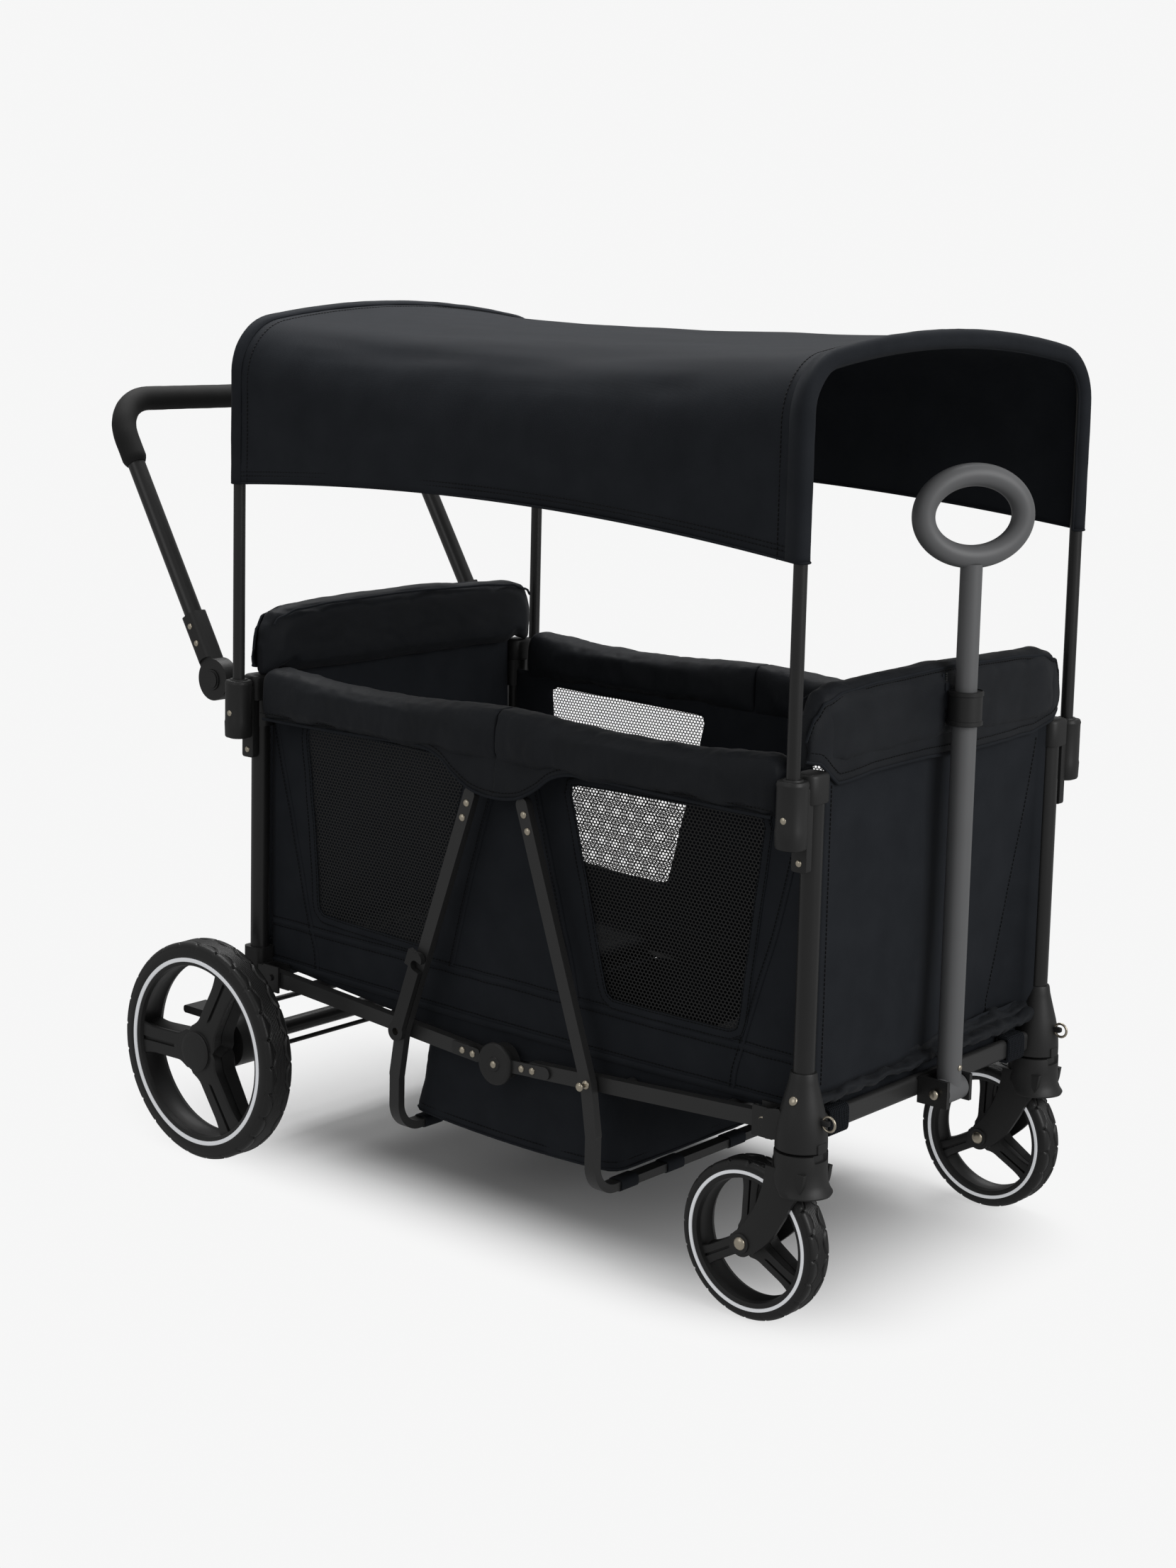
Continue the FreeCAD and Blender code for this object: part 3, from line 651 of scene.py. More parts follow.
def head_tree() -> Tree:
    """Domed rivet or screw heads on points, facing along each point's "facing" vector."""
    tree, ins, outs = geometry_tree("fastener_heads", {"Radius": 0.004, "Height": 0.002})
    node, link = tree.nodes.new, tree.links.new
    ball = node("GeometryNodeMeshUVSphere")
    ball.inputs["Segments"].default_value, ball.inputs["Rings"].default_value = 16, 8
    link(ins.outputs["Radius"], ball.inputs["Radius"])
    flat = node("ShaderNodeCombineXYZ")
    flat.inputs[0].default_value = flat.inputs[1].default_value = 1.0
    share = maths(tree, "DIVIDE", ins.outputs["Height"], ins.outputs["Radius"])
    link(share, flat.inputs[2])
    squashed = node("GeometryNodeTransform")
    link(ball.outputs["Mesh"], squashed.inputs["Geometry"])
    link(flat.outputs[0], squashed.inputs["Scale"])
    facing = node("GeometryNodeInputNamedAttribute")
    facing.data_type = "FLOAT_VECTOR"
    facing.inputs["Name"].default_value = "facing"
    turn = node("FunctionNodeAlignRotationToVector")
    link(facing.outputs["Attribute"], turn.inputs["Vector"])
    put = node("GeometryNodeInstanceOnPoints")
    link(ins.outputs["Geometry"], put.inputs["Points"])
    link(squashed.outputs[0], put.inputs["Instance"])
    link(turn.outputs[0], put.inputs["Rotation"])
    return finish_tree(tree, ins, outs, put.outputs[0])


def row_tree() -> Tree:
    """Short round bars laid end to end along a curve: stitches, zip teeth or ribs."""
    tree, ins, outs = geometry_tree("row_along_path", {"Pitch": 0.005, "Length": 0.0034, "Radius": 0.0005})
    node, link = tree.nodes.new, tree.links.new
    even = node("GeometryNodeResampleCurve")
    if hasattr(even, "mode"):
        even.mode = "LENGTH"
    link(ins.outputs["Geometry"], even.inputs["Curve"])
    link(ins.outputs["Pitch"], even.inputs["Length"])
    rod = node("GeometryNodeMeshCylinder")
    rod.inputs["Vertices"].default_value = 6
    link(ins.outputs["Radius"], rod.inputs["Radius"])
    link(ins.outputs["Length"], rod.inputs["Depth"])
    along = node("GeometryNodeInputTangent")
    turn = node("FunctionNodeAlignRotationToVector")
    link(along.outputs[0], turn.inputs["Vector"])
    put = node("GeometryNodeInstanceOnPoints")
    link(even.outputs[0], put.inputs["Points"])
    link(rod.outputs["Mesh"], put.inputs["Instance"])
    link(turn.outputs[0], put.inputs["Rotation"])
    return finish_tree(tree, ins, outs, put.outputs[0])


def net_tree() -> Tree:
    """Six-sided net: the dual of a triangulated sheet, each cell opened up to leave its yarn."""
    tree, ins, outs = geometry_tree("six_sided_net", {"Opening": 0.66})
    node, link = tree.nodes.new, tree.links.new
    cut = node("GeometryNodeTriangulate")
    dual = node("GeometryNodeDualMesh")
    rise = node("GeometryNodeExtrudeMesh")
    rise.mode = "FACES"
    rise.inputs["Offset Scale"].default_value = 0.0
    rise.inputs["Individual"].default_value = True
    shrink = node("GeometryNodeScaleElements")
    drop = node("GeometryNodeDeleteGeometry")
    drop.domain = "FACE"
    link(ins.outputs["Geometry"], cut.inputs["Mesh"])
    link(cut.outputs[0], dual.inputs["Mesh"])
    link(dual.outputs[0], rise.inputs["Mesh"])
    link(rise.outputs["Mesh"], shrink.inputs["Geometry"])
    link(rise.outputs["Top"], shrink.inputs["Selection"])
    link(ins.outputs["Opening"], shrink.inputs["Scale"])
    link(shrink.outputs[0], drop.inputs["Geometry"])
    link(rise.outputs["Top"], drop.inputs["Selection"])
    return finish_tree(tree, ins, outs, drop.outputs[0])


HEADS, ROW, NET_TREE = head_tree(), row_tree(), net_tree()


def grow(piece: Piece, tree: Tree, finish: Finish, **sizes: float) -> Piece:
    """Runs a Geometry Nodes tree on a piece and keeps the result as a plain mesh."""
    nodes = piece.modifiers.new("growth", "NODES")
    nodes.node_group = tree
    for item in tree.interface.items_tree:
        if item.in_out == "INPUT" and item.name in sizes:
            nodes[item.identifier] = float(sizes[item.name])
        elif item.in_out == "INPUT" and item.name == "Finish":
            nodes[item.identifier] = finish.material()
    made = baked(piece)
    if not made.data.materials:
        made.data.materials.append(finish.material())
    return made


def heads(name: str, places: Sequence[tuple[Vector, Vector]], radius: float, height: float,
          finish: Finish = ZINC) -> Piece:
    """Rivet or screw heads as one piece.

    Args:
        name: the piece's name.
        places: (centre, direction faced) of each head.
        radius: head radius in millimetres.
        height: head height in millimetres.
        finish: the heads' finish.

    Returns:
        The mesh object.
    """
    mesh = bpy.data.meshes.new(name)
    mesh.from_pydata([p[:] for p, _ in places], [], [])
    facing = mesh.attributes.new("facing", "FLOAT_VECTOR", "POINT")
    for k, (_, way) in enumerate(places):
        facing.data[k].vector = way[:]
    return grow(placed(name, mesh), HEADS, finish, Radius=radius * MM, Height=height * MM)


def row(name: str, paths: Sequence[Sequence[Vector]], finish: Finish, pitch: float = 5.0, length: float = 3.4,
        radius: float = 0.45) -> Piece:
    """Stitches, zip teeth or ribs along paths, as one piece; sizes in millimetres."""
    curve = bpy.data.curves.new(name, "CURVE")
    curve.dimensions = "3D"
    for path in paths:
        spline = curve.splines.new("POLY")
        spline.points.add(len(path) - 1)
        for point, p in zip(spline.points, path):
            point.co = (*p, 1.0)
    sizes = {"Pitch": pitch * MM, "Length": length * MM, "Radius": radius * MM}
    return grow(placed(name, curve), ROW, finish, **sizes)


@dataclass(frozen=True)
class Folds:
    """Fold settings for a cloth piece: joint, anchor_y and keep. Nothing in this script reads them; a piece
    given folds only gets its own mesh.
    """

    joint: str
    anchor_y: float
    keep: float


BODY_FOLD = Folds("fold", DATUM.front_y, 0.37)


def hang(piece: Piece, body: str, stands_for: Sequence[str] = (),
         folds: Optional[Folds] = None) -> Piece:
    """Puts a finished piece on its body and hides the CAD parts it stands for."""
    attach(piece, body)
    if folds:
        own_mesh(piece)
    if stands_for:
        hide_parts(*stands_for)
    LOG.info("%s: %d faces on %s", piece.name, len(piece.data.polygons), body)
    return piece


def cloth_piece(piece: Piece, thick: float) -> Piece:
    """Args:
        piece: the flat mesh.
        thick: cloth thickness in millimetres.

    Returns:
        The thickened piece.
    """
    thicken(piece, thick)
    return piece


# ---- canopy ----
@dataclass(frozen=True)
class Canopy:
    """Flat-topped cloth roof stretched between the two hoops."""

    rod_x: float = ROD_X
    corner: float = 60.0
    crown: float = 1400.0
    apex: tuple[float, float] = (1069.5, 1078.5)
    cover: float = 9.2
    sag: float = 18.0
    sleeve: float = 26.0
    pinch: float = 9.0
    hem: tuple[float, float] = (842.0, 862.0)
    hem_rise: float = 21.0

    def arch(self, offset: float, share: float, hem: float, count: int) -> list[Point2]:
        """One cross-section from the right hem over the top to the left hem."""
        bow = 4 * share * (1 - share)
        half = self.rod_x + offset - self.pinch * bow
        corner = self.corner + offset + 34 * bow
        crown = self.crown + offset
        apex = self.apex[0] + (self.apex[1] - self.apex[0]) * share + offset
        apex -= self.sag * math.sqrt(max(0.0, bow))
        drop = math.sqrt((crown - corner) ** 2 - (half - corner) ** 2)
        lean = math.degrees(math.atan2(half - corner, drop))
        zc = apex - crown + drop
        side = [(-half, hem), (-half, zc)]
        bend = arc((-half + corner, zc), corner, 180, 90 + lean, 14)
        top = arc((0.0, apex - crown), crown, 90 + lean, 90 - lean, 30)
        right = side + bend + top
        line = [Vector((x, 0, z)) for x, z in right + [(-x, z) for x, z in reversed(side + bend)]]
        return [(p.x, p.z) for p in spaced(line, count)]

    def hem_height(self, share: float) -> float:
        """Height of the hem at a share of the length."""
        share = clamp(share)
        return self.hem[0] + (self.hem[1] - self.hem[0]) * share + self.hem_rise * 4 * share * (1 - share)

    def profile(self) -> list[Point2]:
        """The lengthwise line (y, offset): round the front hoop, along the top and round the rear hoop."""
        length, r = DATUM.length, self.cover
        front = arc((0.0, 0.0), r, 262, 92, 14)
        flat = [(length * k / 66, r) for k in range(1, 66)]
        rear = arc((length, 0.0), r, 88, -82, 14)
        return front + flat + rear

    def point(self, y: float, offset: float, u: float, count: int = 121) -> Vector:
        """A point on the cloth at a share u of the way across."""
        share = clamp(y / DATUM.length)
        line = self.arch(offset, share, self.hem_height(share), count)
        x, z = line[round(u * (count - 1))]
        return DATUM.at(x, y, z)

    def build(self) -> None:
        """Makes the cloth, its hem, its seams and its stitches."""
        count = 121
        rows = []
        for y, offset in self.profile():
            share = clamp(y / DATUM.length)
            line = self.arch(offset, share, self.hem_height(share), count)
            rows.append([DATUM.at(x, y, z) for x, z in line])
        cloth = Shape().grid(rows).build("canopy_cloth", CLOTH, closed=False)
        self.turn_outwards(cloth)
        crumple(cloth, 0.13, 0.0042, Vector((1, 0.42, 1)), self.slackness)
        crumple(cloth, 0.040, 0.0034, Vector((1, 0.16, 1)), self.shoulder)
        crumple(cloth, 0.028, 0.0005, Vector((1, 0.3, 1)))
        thicken(cloth, 1.4)
        edges = [[r[0] for r in rows], [r[-1] for r in rows], rows[0], rows[-1]]
        binding = Shape()
        for line in edges:
            binding.sweep(line, circle(1.9, 8, 0.8), Vector((0.3, 0.2, 1)))
        trim = binding.build("canopy_bindings", CLOTH)
        seams = []
        for y in (24.0, DATUM.length - 24.0):
            seams.append([self.point(y, self.cover + 1.2, u / 100, 101) for u in range(101)])
        for rise in (9.0, 14.0):
            for sign in SIDES:
                line = []
                for k in range(60):
                    y = 8 + (DATUM.length - 16) * k / 59
                    share = y / DATUM.length
                    half = self.rod_x + self.cover + 1.2 - self.pinch * 4 * share * (1 - share)
                    line.append(DATUM.at(sign * half, y, self.hem_height(share) + rise))
                seams.append(line)
        thread = row("canopy_stitches", seams, THREAD)
        self.sleeves(count)
        hang(cloth, "front_frame", ["canopy"], BODY_FOLD)
        hang(trim, "front_frame", folds=BODY_FOLD)
        hang(thread, "front_frame", folds=BODY_FOLD)

    def sleeves(self, count: int) -> None:
        """Makes the doubled band that holds the cloth to each hoop.

        Args:
            count: points across the cloth.
        """
        for end, body in ((End.FRONT, "front_frame"), (End.REAR, "rear_frame")):
            rows = []
            for y, offset in self.profile():
                if (y if end is End.FRONT else DATUM.length - y) <= self.sleeve:
                    share = clamp(y / DATUM.length)
                    line = self.arch(offset + 1.5, share, self.hem_height(share) - 0.6, count)
                    rows.append([DATUM.at(x, y, z) for x, z in line])
            band = Shape().grid(rows).build(f"canopy_{end}_sleeve", CLOTH, closed=False)
            self.turn_outwards(band)
            crumple(band, 0.03, 0.0004)
            hang(cloth_piece(band, 1.0), body)

    @staticmethod
    def slackness(place: Vector) -> float:
        """How free the cloth is to crease: none on the hoops, most between them."""
        share = (place.y - DATUM.front_y) / (DATUM.length * MM)
        return clamp(5.6 * share * (1 - share))

    def shoulder(self, place: Vector) -> float:
        """Where the long drag lines run: along the bends between the hoops."""
        height = place.z / MM - (self.apex[0] - 40)
        return self.slackness(place) * math.exp(-(height / 34) ** 2)

    @staticmethod
    def turn_outwards(cloth: Piece) -> None:
        """Turns the sheet's faces up and outwards."""
        top = max(cloth.data.polygons, key=lambda f: f.center.z)
        if top.normal.z < 0:
            cloth.data.flip_normals()


# ---- fabric body ----
def cut_sheet(outer: Outline, holes: Sequence[Outline], step: float,
              lift: Callable[[float, float], Vector]) -> Shape:
    """A sheet cut to an outline with openings, meshed finely enough to crease.

    Args:
        outer: outline in the sheet's own plane, in millimetres.
        holes: openings in it.
        step: distance between points in millimetres.
        lift: takes the sheet's plane to a point in the wagon's frame.

    Returns:
        The open shape.
    """
    points: list[Vector] = []
    edges: list[tuple[int, int]] = []
    loops = [list(outer), *[list(h) for h in holes]]
    dense = []
    for loop in loops:
        line = [Vector((a, b, 0)) for a, b in loop]
        around = sum((a - b).length for a, b in zip(line, line[1:] + line[:1]))
        dense.append([(p.x, p.y) for p in spaced(line, max(8, int(around / step)), closed=True)])
    for loop in dense:
        base = len(points)
        points += [Vector(p) for p in loop]
        edges += [(base + k, base + (k + 1) % len(loop)) for k in range(len(loop))]
    low = [min(p[k] for p in outer) for k in (0, 1)]
    high = [max(p[k] for p in outer) for k in (0, 1)]
    across, along = int((high[0] - low[0]) / step), int((high[1] - low[1]) / step)
    for i in range(1, across):
        for j in range(1, along):
            p = (low[0] + i * step, low[1] + j * step * 0.999)
            if on_cloth(p, dense) and clear(p, dense, step * 0.5):
                points.append(Vector(p))
    flat, _, faces, *_ = delaunay_2d_cdt(points, edges, [], 0, 1e-4)
    shape = Shape()
    shape.points = [lift(p.x, p.y) for p in flat]
    for face in faces:
        mid = (sum(flat[k].x for k in face) / len(face), sum(flat[k].y for k in face) / len(face))
        if on_cloth(mid, dense):
            shape.faces.append(list(face))
    return shape


def inside(p: Point2, loop: Outline) -> bool:
    """True if a point is inside a closed outline."""
    found = False
    for (ax, ay), (bx, by) in zip(loop, [*loop[1:], loop[0]]):
        if (ay > p[1]) != (by > p[1]) and p[0] < (bx - ax) * (p[1] - ay) / (by - ay) + ax:
            found = not found
    return found


def on_cloth(p: Point2, loops: Sequence[Outline]) -> bool:
    """True if a point is inside the first outline and in none of the openings after it."""
    return inside(p, loops[0]) and not any(inside(p, hole) for hole in loops[1:])


def clear(p: Point2, loops: Sequence[Outline], gap: float) -> bool:
    """True if a point keeps a gap from every outline's points."""
    return all((p[0] - a) ** 2 + (p[1] - b) ** 2 > gap * gap for loop in loops for a, b in loop)


@dataclass(frozen=True)
class SideWall:
    """Sewn cloth side with two net windows, their bindings and the hem band."""

    side: Side
    plane_x: float = 229.7
    y_range: tuple[float, float] = (12.0, 853.0)
    z_range: tuple[float, float] = (243.0, 576.0)
    mesh_step: float = 7.0
    net_pitch: tuple[float, float] = (5.2, 3.9)
    net_opening: float = 0.70

    @property
    def windows(self) -> list[list[Point2]]:
        """Outlines of the net windows as (y, z)."""
        front = [(67, 556), (349, 551), (286, 309), (98, 310)]
        rear = [(512, 554), (788, 560), (764, 320), (571, 313)]
        return [rounded(front, 12), rounded(rear, 12)]

    def lift(self, y: float, z: float, out: float = 0.0) -> Vector:
        """A point on the wall, out millimetres proud of it, with the cloth's slow waves."""
        q = Vector((y / 95, z / 120, 3.0 * self.side.value))
        wave = 2.4 * noise.noise(q) + 1.3 * noise.noise(q * 2.7)
        edge = min(1.0, (z - self.z_range[0]) / 40, (self.y_range[1] - y) / 30, (y - self.y_range[0]) / 30)
        low = max(0.0, 1 - abs(z - 276) / 38) * 2.4 * ripple(y / 24, z / 46, 9.0)
        slant = max(0.0, 1 - abs(y - MID) / 120) * 1.8 * ripple((y + z) / 34, (y - z) / 110, 4.0)
        x = self.plane_x + wave * max(0.15, edge) + low + slant + out
        dip = 1 - min(1.0, (z - self.z_range[0]) / 60)
        return DATUM.at(self.side.value * x, y, z - 5 * dip * math.sin(math.pi * y / DATUM.length))

    def build(self) -> None:
        """Makes the wall, its nets, bindings, bands and stitches."""
        tag = self.side.name.lower()
        (y0, y1), (z0, z1) = self.y_range, self.z_range
        outer = [(y0, z0), (y1, z0), (y1, z1), (y0, z1)]
        sheet = cut_sheet(outer, self.windows, self.mesh_step, self.lift)
        wall = sheet.build(f"side_wall_{tag}", CLOTH, closed=False)
        facing = sum(f.normal.x * f.area for f in wall.data.polygons)
        if facing * self.side.value < 0:
            wall.data.flip_normals()
        thicken(wall, 1.2)
        with_pieces = [self.net(k, w, tag) for k, w in enumerate(self.windows)]
        bindings, seams = Shape(), []
        for w in self.windows:
            line = [Vector((a, b, 0)) for a, b in w]
            loop = spaced(line, 90, closed=True)
            out = self.grown(loop, 5.0)
            bindings.sweep([self.lift(p.x, p.y, 1.0) for p in out], circle(6.0, 10, 0.22),
                           sideways(self.side.value), closed=True)
            for offset in (0.8, 9.2):
                ring = self.grown(loop, offset)
                seams.append([self.lift(p.x, p.y, 2.2) for p in ring + ring[:1]])
        for z in (244.5, 572.0):
            band = [self.lift(y0 + 4 + (y1 - y0 - 8) * k / 80, z, 1.0) for k in range(81)]
            bindings.sweep(band, circle(4.0, 8, 0.4), sideways(self.side.value))
        band = [self.lift(y0 + 2 + (y1 - y0 - 4) * k / 80, 296, 0.9) for k in range(81)]
        bindings.sweep(band, circle(3.2, 8, 0.3), sideways(self.side.value))
        for z in (252, 291, 302):
            seams.append([self.lift(y0 + 4 + (y1 - y0 - 8) * k / 120, z, 1.4) for k in range(121)])
        for ends in (((20, 556), (46, 442), (90, 300)), ((844, 556), (812, 430), (778, 300)),
                     ((404, 552), (366, 430), (330, 300)), ((460, 552), (496, 430), (530, 300)),
                     ((90, 300), (98, 270), (101, 246)), ((778, 300), (768, 270), (765, 246))):
            curve = spaced(smooth_line([Vector((a, b, 0)) for a, b in ends]), 41)
            line = [self.lift(p.x, p.y, 0.9) for p in curve]
            bindings.sweep(line, circle(2.2, 8, 0.45), sideways(self.side.value))
            seams.append([p + Vector((self.side.value * 1.0, 5.0, 0)) * MM for p in line])
        self.skirt(tag)
        trim = bindings.build(f"side_bindings_{tag}", CLOTH)
        thread = row(f"side_stitches_{tag}", seams, THREAD)
        with_pieces += [trim, thread]
        stands = ["side_panels"] if self.side is Side.RIGHT else []
        hang(wall, "front_frame", stands, BODY_FOLD)
        for piece in with_pieces:
            finish = NET if "net" in piece.name else THREAD if "stitches" in piece.name else CLOTH
            hang(piece, "front_frame", folds=BODY_FOLD)

    def skirt(self, tag: str) -> None:
        """Inner strip that joins the wall to the floor of the wagon beside the lower rail."""
        rows = []
        for k in range(101):
            y = 28 + (DATUM.length - 56) * k / 100
            along = min(y, DATUM.length - y)
            low = 238 - 33 * max(0.0, along - 40) / (MID - 40)
            column = []
            for j in range(7):
                t = j / 6
                sway = 1.0 * ripple(y / 22, t * 2, 12.0 + self.side.value)
                column.append(DATUM.at(self.side.value * (226.3 + 1.8 * t + sway), y, 262 + (low - 262) * t))
            rows.append(column)
        strip = Shape().grid(rows).build(f"side_skirt_{tag}", CLOTH, closed=False)
        thicken(strip, 1.0)
        hang(strip, "front_frame", folds=BODY_FOLD)

    @staticmethod
    def grown(loop: Sequence[Vector], offset: float) -> list[Vector]:
        """An outline moved outwards by offset millimetres."""
        centre = sum(loop, Vector()) / len(loop)
        out, n = [], len(loop)
        for k, p in enumerate(loop):
            along = (loop[(k + 1) % n] - loop[k - 1]).normalized()
            away = Vector((along.y, -along.x, 0))
            if away.dot(p - centre) < 0:
                away.negate()
            out.append(p + away * offset)
        return out

    def net(self, number: int, window: Outline, tag: str) -> Piece:
        """Net that fills one window, as real yarn with open cells."""
        ys, zs = [p[0] for p in window], [p[1] for p in window]
        pitch_y, pitch_z = self.net_pitch
        y0, y1, z0, z1 = min(ys) - 4, max(ys) + 4, min(zs) - 4, max(zs) + 4
        cols, rows_n = int((y1 - y0) / pitch_y), int((z1 - z0) / pitch_z)
        grid = Shape()
        rows = []
        for j in range(rows_n + 1):
            slide = pitch_y / 2 if j % 2 else 0.0
            z = z0 + pitch_z * j
            rows.append([self.lift(y0 + pitch_y * k + slide, z, -0.4) for k in range(cols + 1)])
        for r in rows:
            grid.points.extend(r)
        reach = SideWall.grown([Vector((a, b, 0)) for a, b in window], 4.0)
        outline = [(p.x, p.y) for p in reach]
        n = cols + 1
        for j in range(rows_n):
            for k in range(cols):
                centre = (y0 + pitch_y * (k + 0.5), z0 + pitch_z * (j + 0.5))
                if not inside(centre, outline):
                    continue
                a, b = j * n + k, (j + 1) * n + k
                if j % 2:
                    grid.faces += [(a, b + 1, b), (a, a + 1, b + 1)]
                else:
                    grid.faces += [(a, a + 1, b), (a + 1, b + 1, b)]
        piece = grid.build(f"side_net_{tag}_{number}", NET, closed=False)
        grow(piece, NET_TREE, NET, Opening=self.net_opening)
        return piece


@dataclass(frozen=True)
class Rims:
    """Padded sleeves over the upper rails, with the flap that hangs at the middle."""

    centre_x: float = 247.8
    centre_z: float = 597.0
    width: float = 45.0
    height: float = 69.0
    start_y: float = 29.0

    def section(self, y: float, seed: float) -> list[Point2]:
        """Sleeve section at y, with the pull of the cloth around the rail."""
        swell = 1 + 0.05 * ripple(y / 60, seed, 0)
        return pillow(self.width * swell, self.height * (1 + 0.03 * ripple(y / 40, seed, 5)), 0.5, 36)

    def sleeve(self) -> Shape:
        """Front half sleeve on the left side, closed at both ends."""
        rows = []
        for k in range(85):
            y = self.start_y + (MID + 1.5 - self.start_y) * k / 84
            past = y - self.start_y
            end = min(1.0, 0.72 + 0.28 * min(1.0, past / 14) ** 0.5)
            lift = -2.5 * math.sin(math.pi * past / (MID - self.start_y)) + 1.2 * ripple(y / 45, 3, 8)
            rows.append([DATUM.at(self.centre_x + a * end, y, self.centre_z + b * end + lift)
                         for a, b in self.section(y, 2.0)])
        return Shape().grid(rows, wrap_row=True, caps=True)

    def flap_edge(self) -> list[Point2]:
        """Lower edge of the flap as (y, z), front half."""
        low = ((296, 572), (322, 570), (346, 562), (368, 546), (392, 533), (414, 528), (MID + 0.5, 527))
        return [(p.x, p.y) for p in smooth_line([Vector((y, z, 0)) for y, z in low], 6)]

    def flap(self, sign: int, end: End) -> Shape:
        """Thin padded flap that grows out of the sleeve's outer face."""
        rows = []
        for y, z in self.flap_edge():
            column = []
            for j in range(9):
                t = j / 8
                x = 269.4 - 9.0 * t ** 2.2 + 0.8 * ripple(y / 30, t * 2, 4) * (1 - t)
                column.append(DATUM.near(end, sign * x, y, z + (590 - z) * t))
            rows.append(column)
        return Shape().grid(rows)

    def build(self) -> None:
        """Makes the four sleeves, then flaps, piping and stitches on each body."""
        first = stuff(self.sleeve().build("rim_master", LINING), PAD_VOXEL, PAD_REACH)
        crumple(first, 0.020, 0.0011, Vector((1, 1, 0.45)))
        crumple(first, 0.07, 0.0016, Vector((1, 1, 0.6)))
        for end in End:
            body = "upper_front" if end is End.FRONT else "upper_rear"
            for side in Side:
                piece = self.copy_of(first, f"rim_{end}_{side.name.lower()}", side, end)
                stands = [f"{end}_rims"] if side is Side.RIGHT else []
                hang(piece, body, stands)
            trims, seams, cloth = Shape(), [], Shape()
            for sign in SIDES:
                cloth.add(self.flap(sign, end))
                edge = self.flap_edge()
                straight = [(34 + k * 10.0, 566.5 + 5 * (k / 26) ** 2) for k in range(27)]
                line = [DATUM.near(end, sign * 267.6, y, z) for y, z in straight]
                line += [DATUM.near(end, sign * 269.8, y, z) for y, z in edge[3:]]
                trims.sweep(spaced(line, 90), circle(2.0, 8), Vector((1, 0, 0)))
                seams.append([DATUM.near(end, sign * 271.4, y, z + 7) for y, z in edge[8:]])
                seams.append([DATUM.near(end, sign * 271.2, y, 574.5) for y, _ in straight])
            panel = self.outward(cloth.build(f"rim_flaps_{end}", LINING, closed=False))
            hang(cloth_piece(panel, 2.4), body)
            hang(trims.build(f"rim_piping_{end}", CLOTH), body)
            hang(row(f"rim_stitches_{end}", seams, THREAD), body)
        bpy.data.objects.remove(first)

    @staticmethod
    def outward(piece: Piece) -> Piece:
        """Turns sheets on both sides of the wagon to face away from the middle."""
        work = bmesh.new()
        work.from_mesh(piece.data)
        for face in work.faces:
            if face.normal.x * face.calc_center_median().x < 0:
                face.normal_flip()
        work.to_mesh(piece.data)
        work.free()
        return piece

    @staticmethod
    def copy_of(first: Piece, name: str, side: Side, end: End) -> Piece:
        """The master sleeve, mirrored to another corner of the wagon."""
        mesh = first.data.copy()
        middle_y = DATUM.front_y + MID * MM
        flips = 0
        if side is Side.RIGHT:
            mesh.transform(Matrix.Scale(-1, 4, Vector((1, 0, 0))))
            flips += 1
        if end is End.REAR:
            shift = Matrix.Translation((0, middle_y, 0))
            mesh.transform(shift @ Matrix.Scale(-1, 4, Vector((0, 1, 0))) @ shift.inverted())
            flips += 1
        if flips % 2:
            mesh.flip_normals()
        mesh.name = name
        return placed(name, mesh)


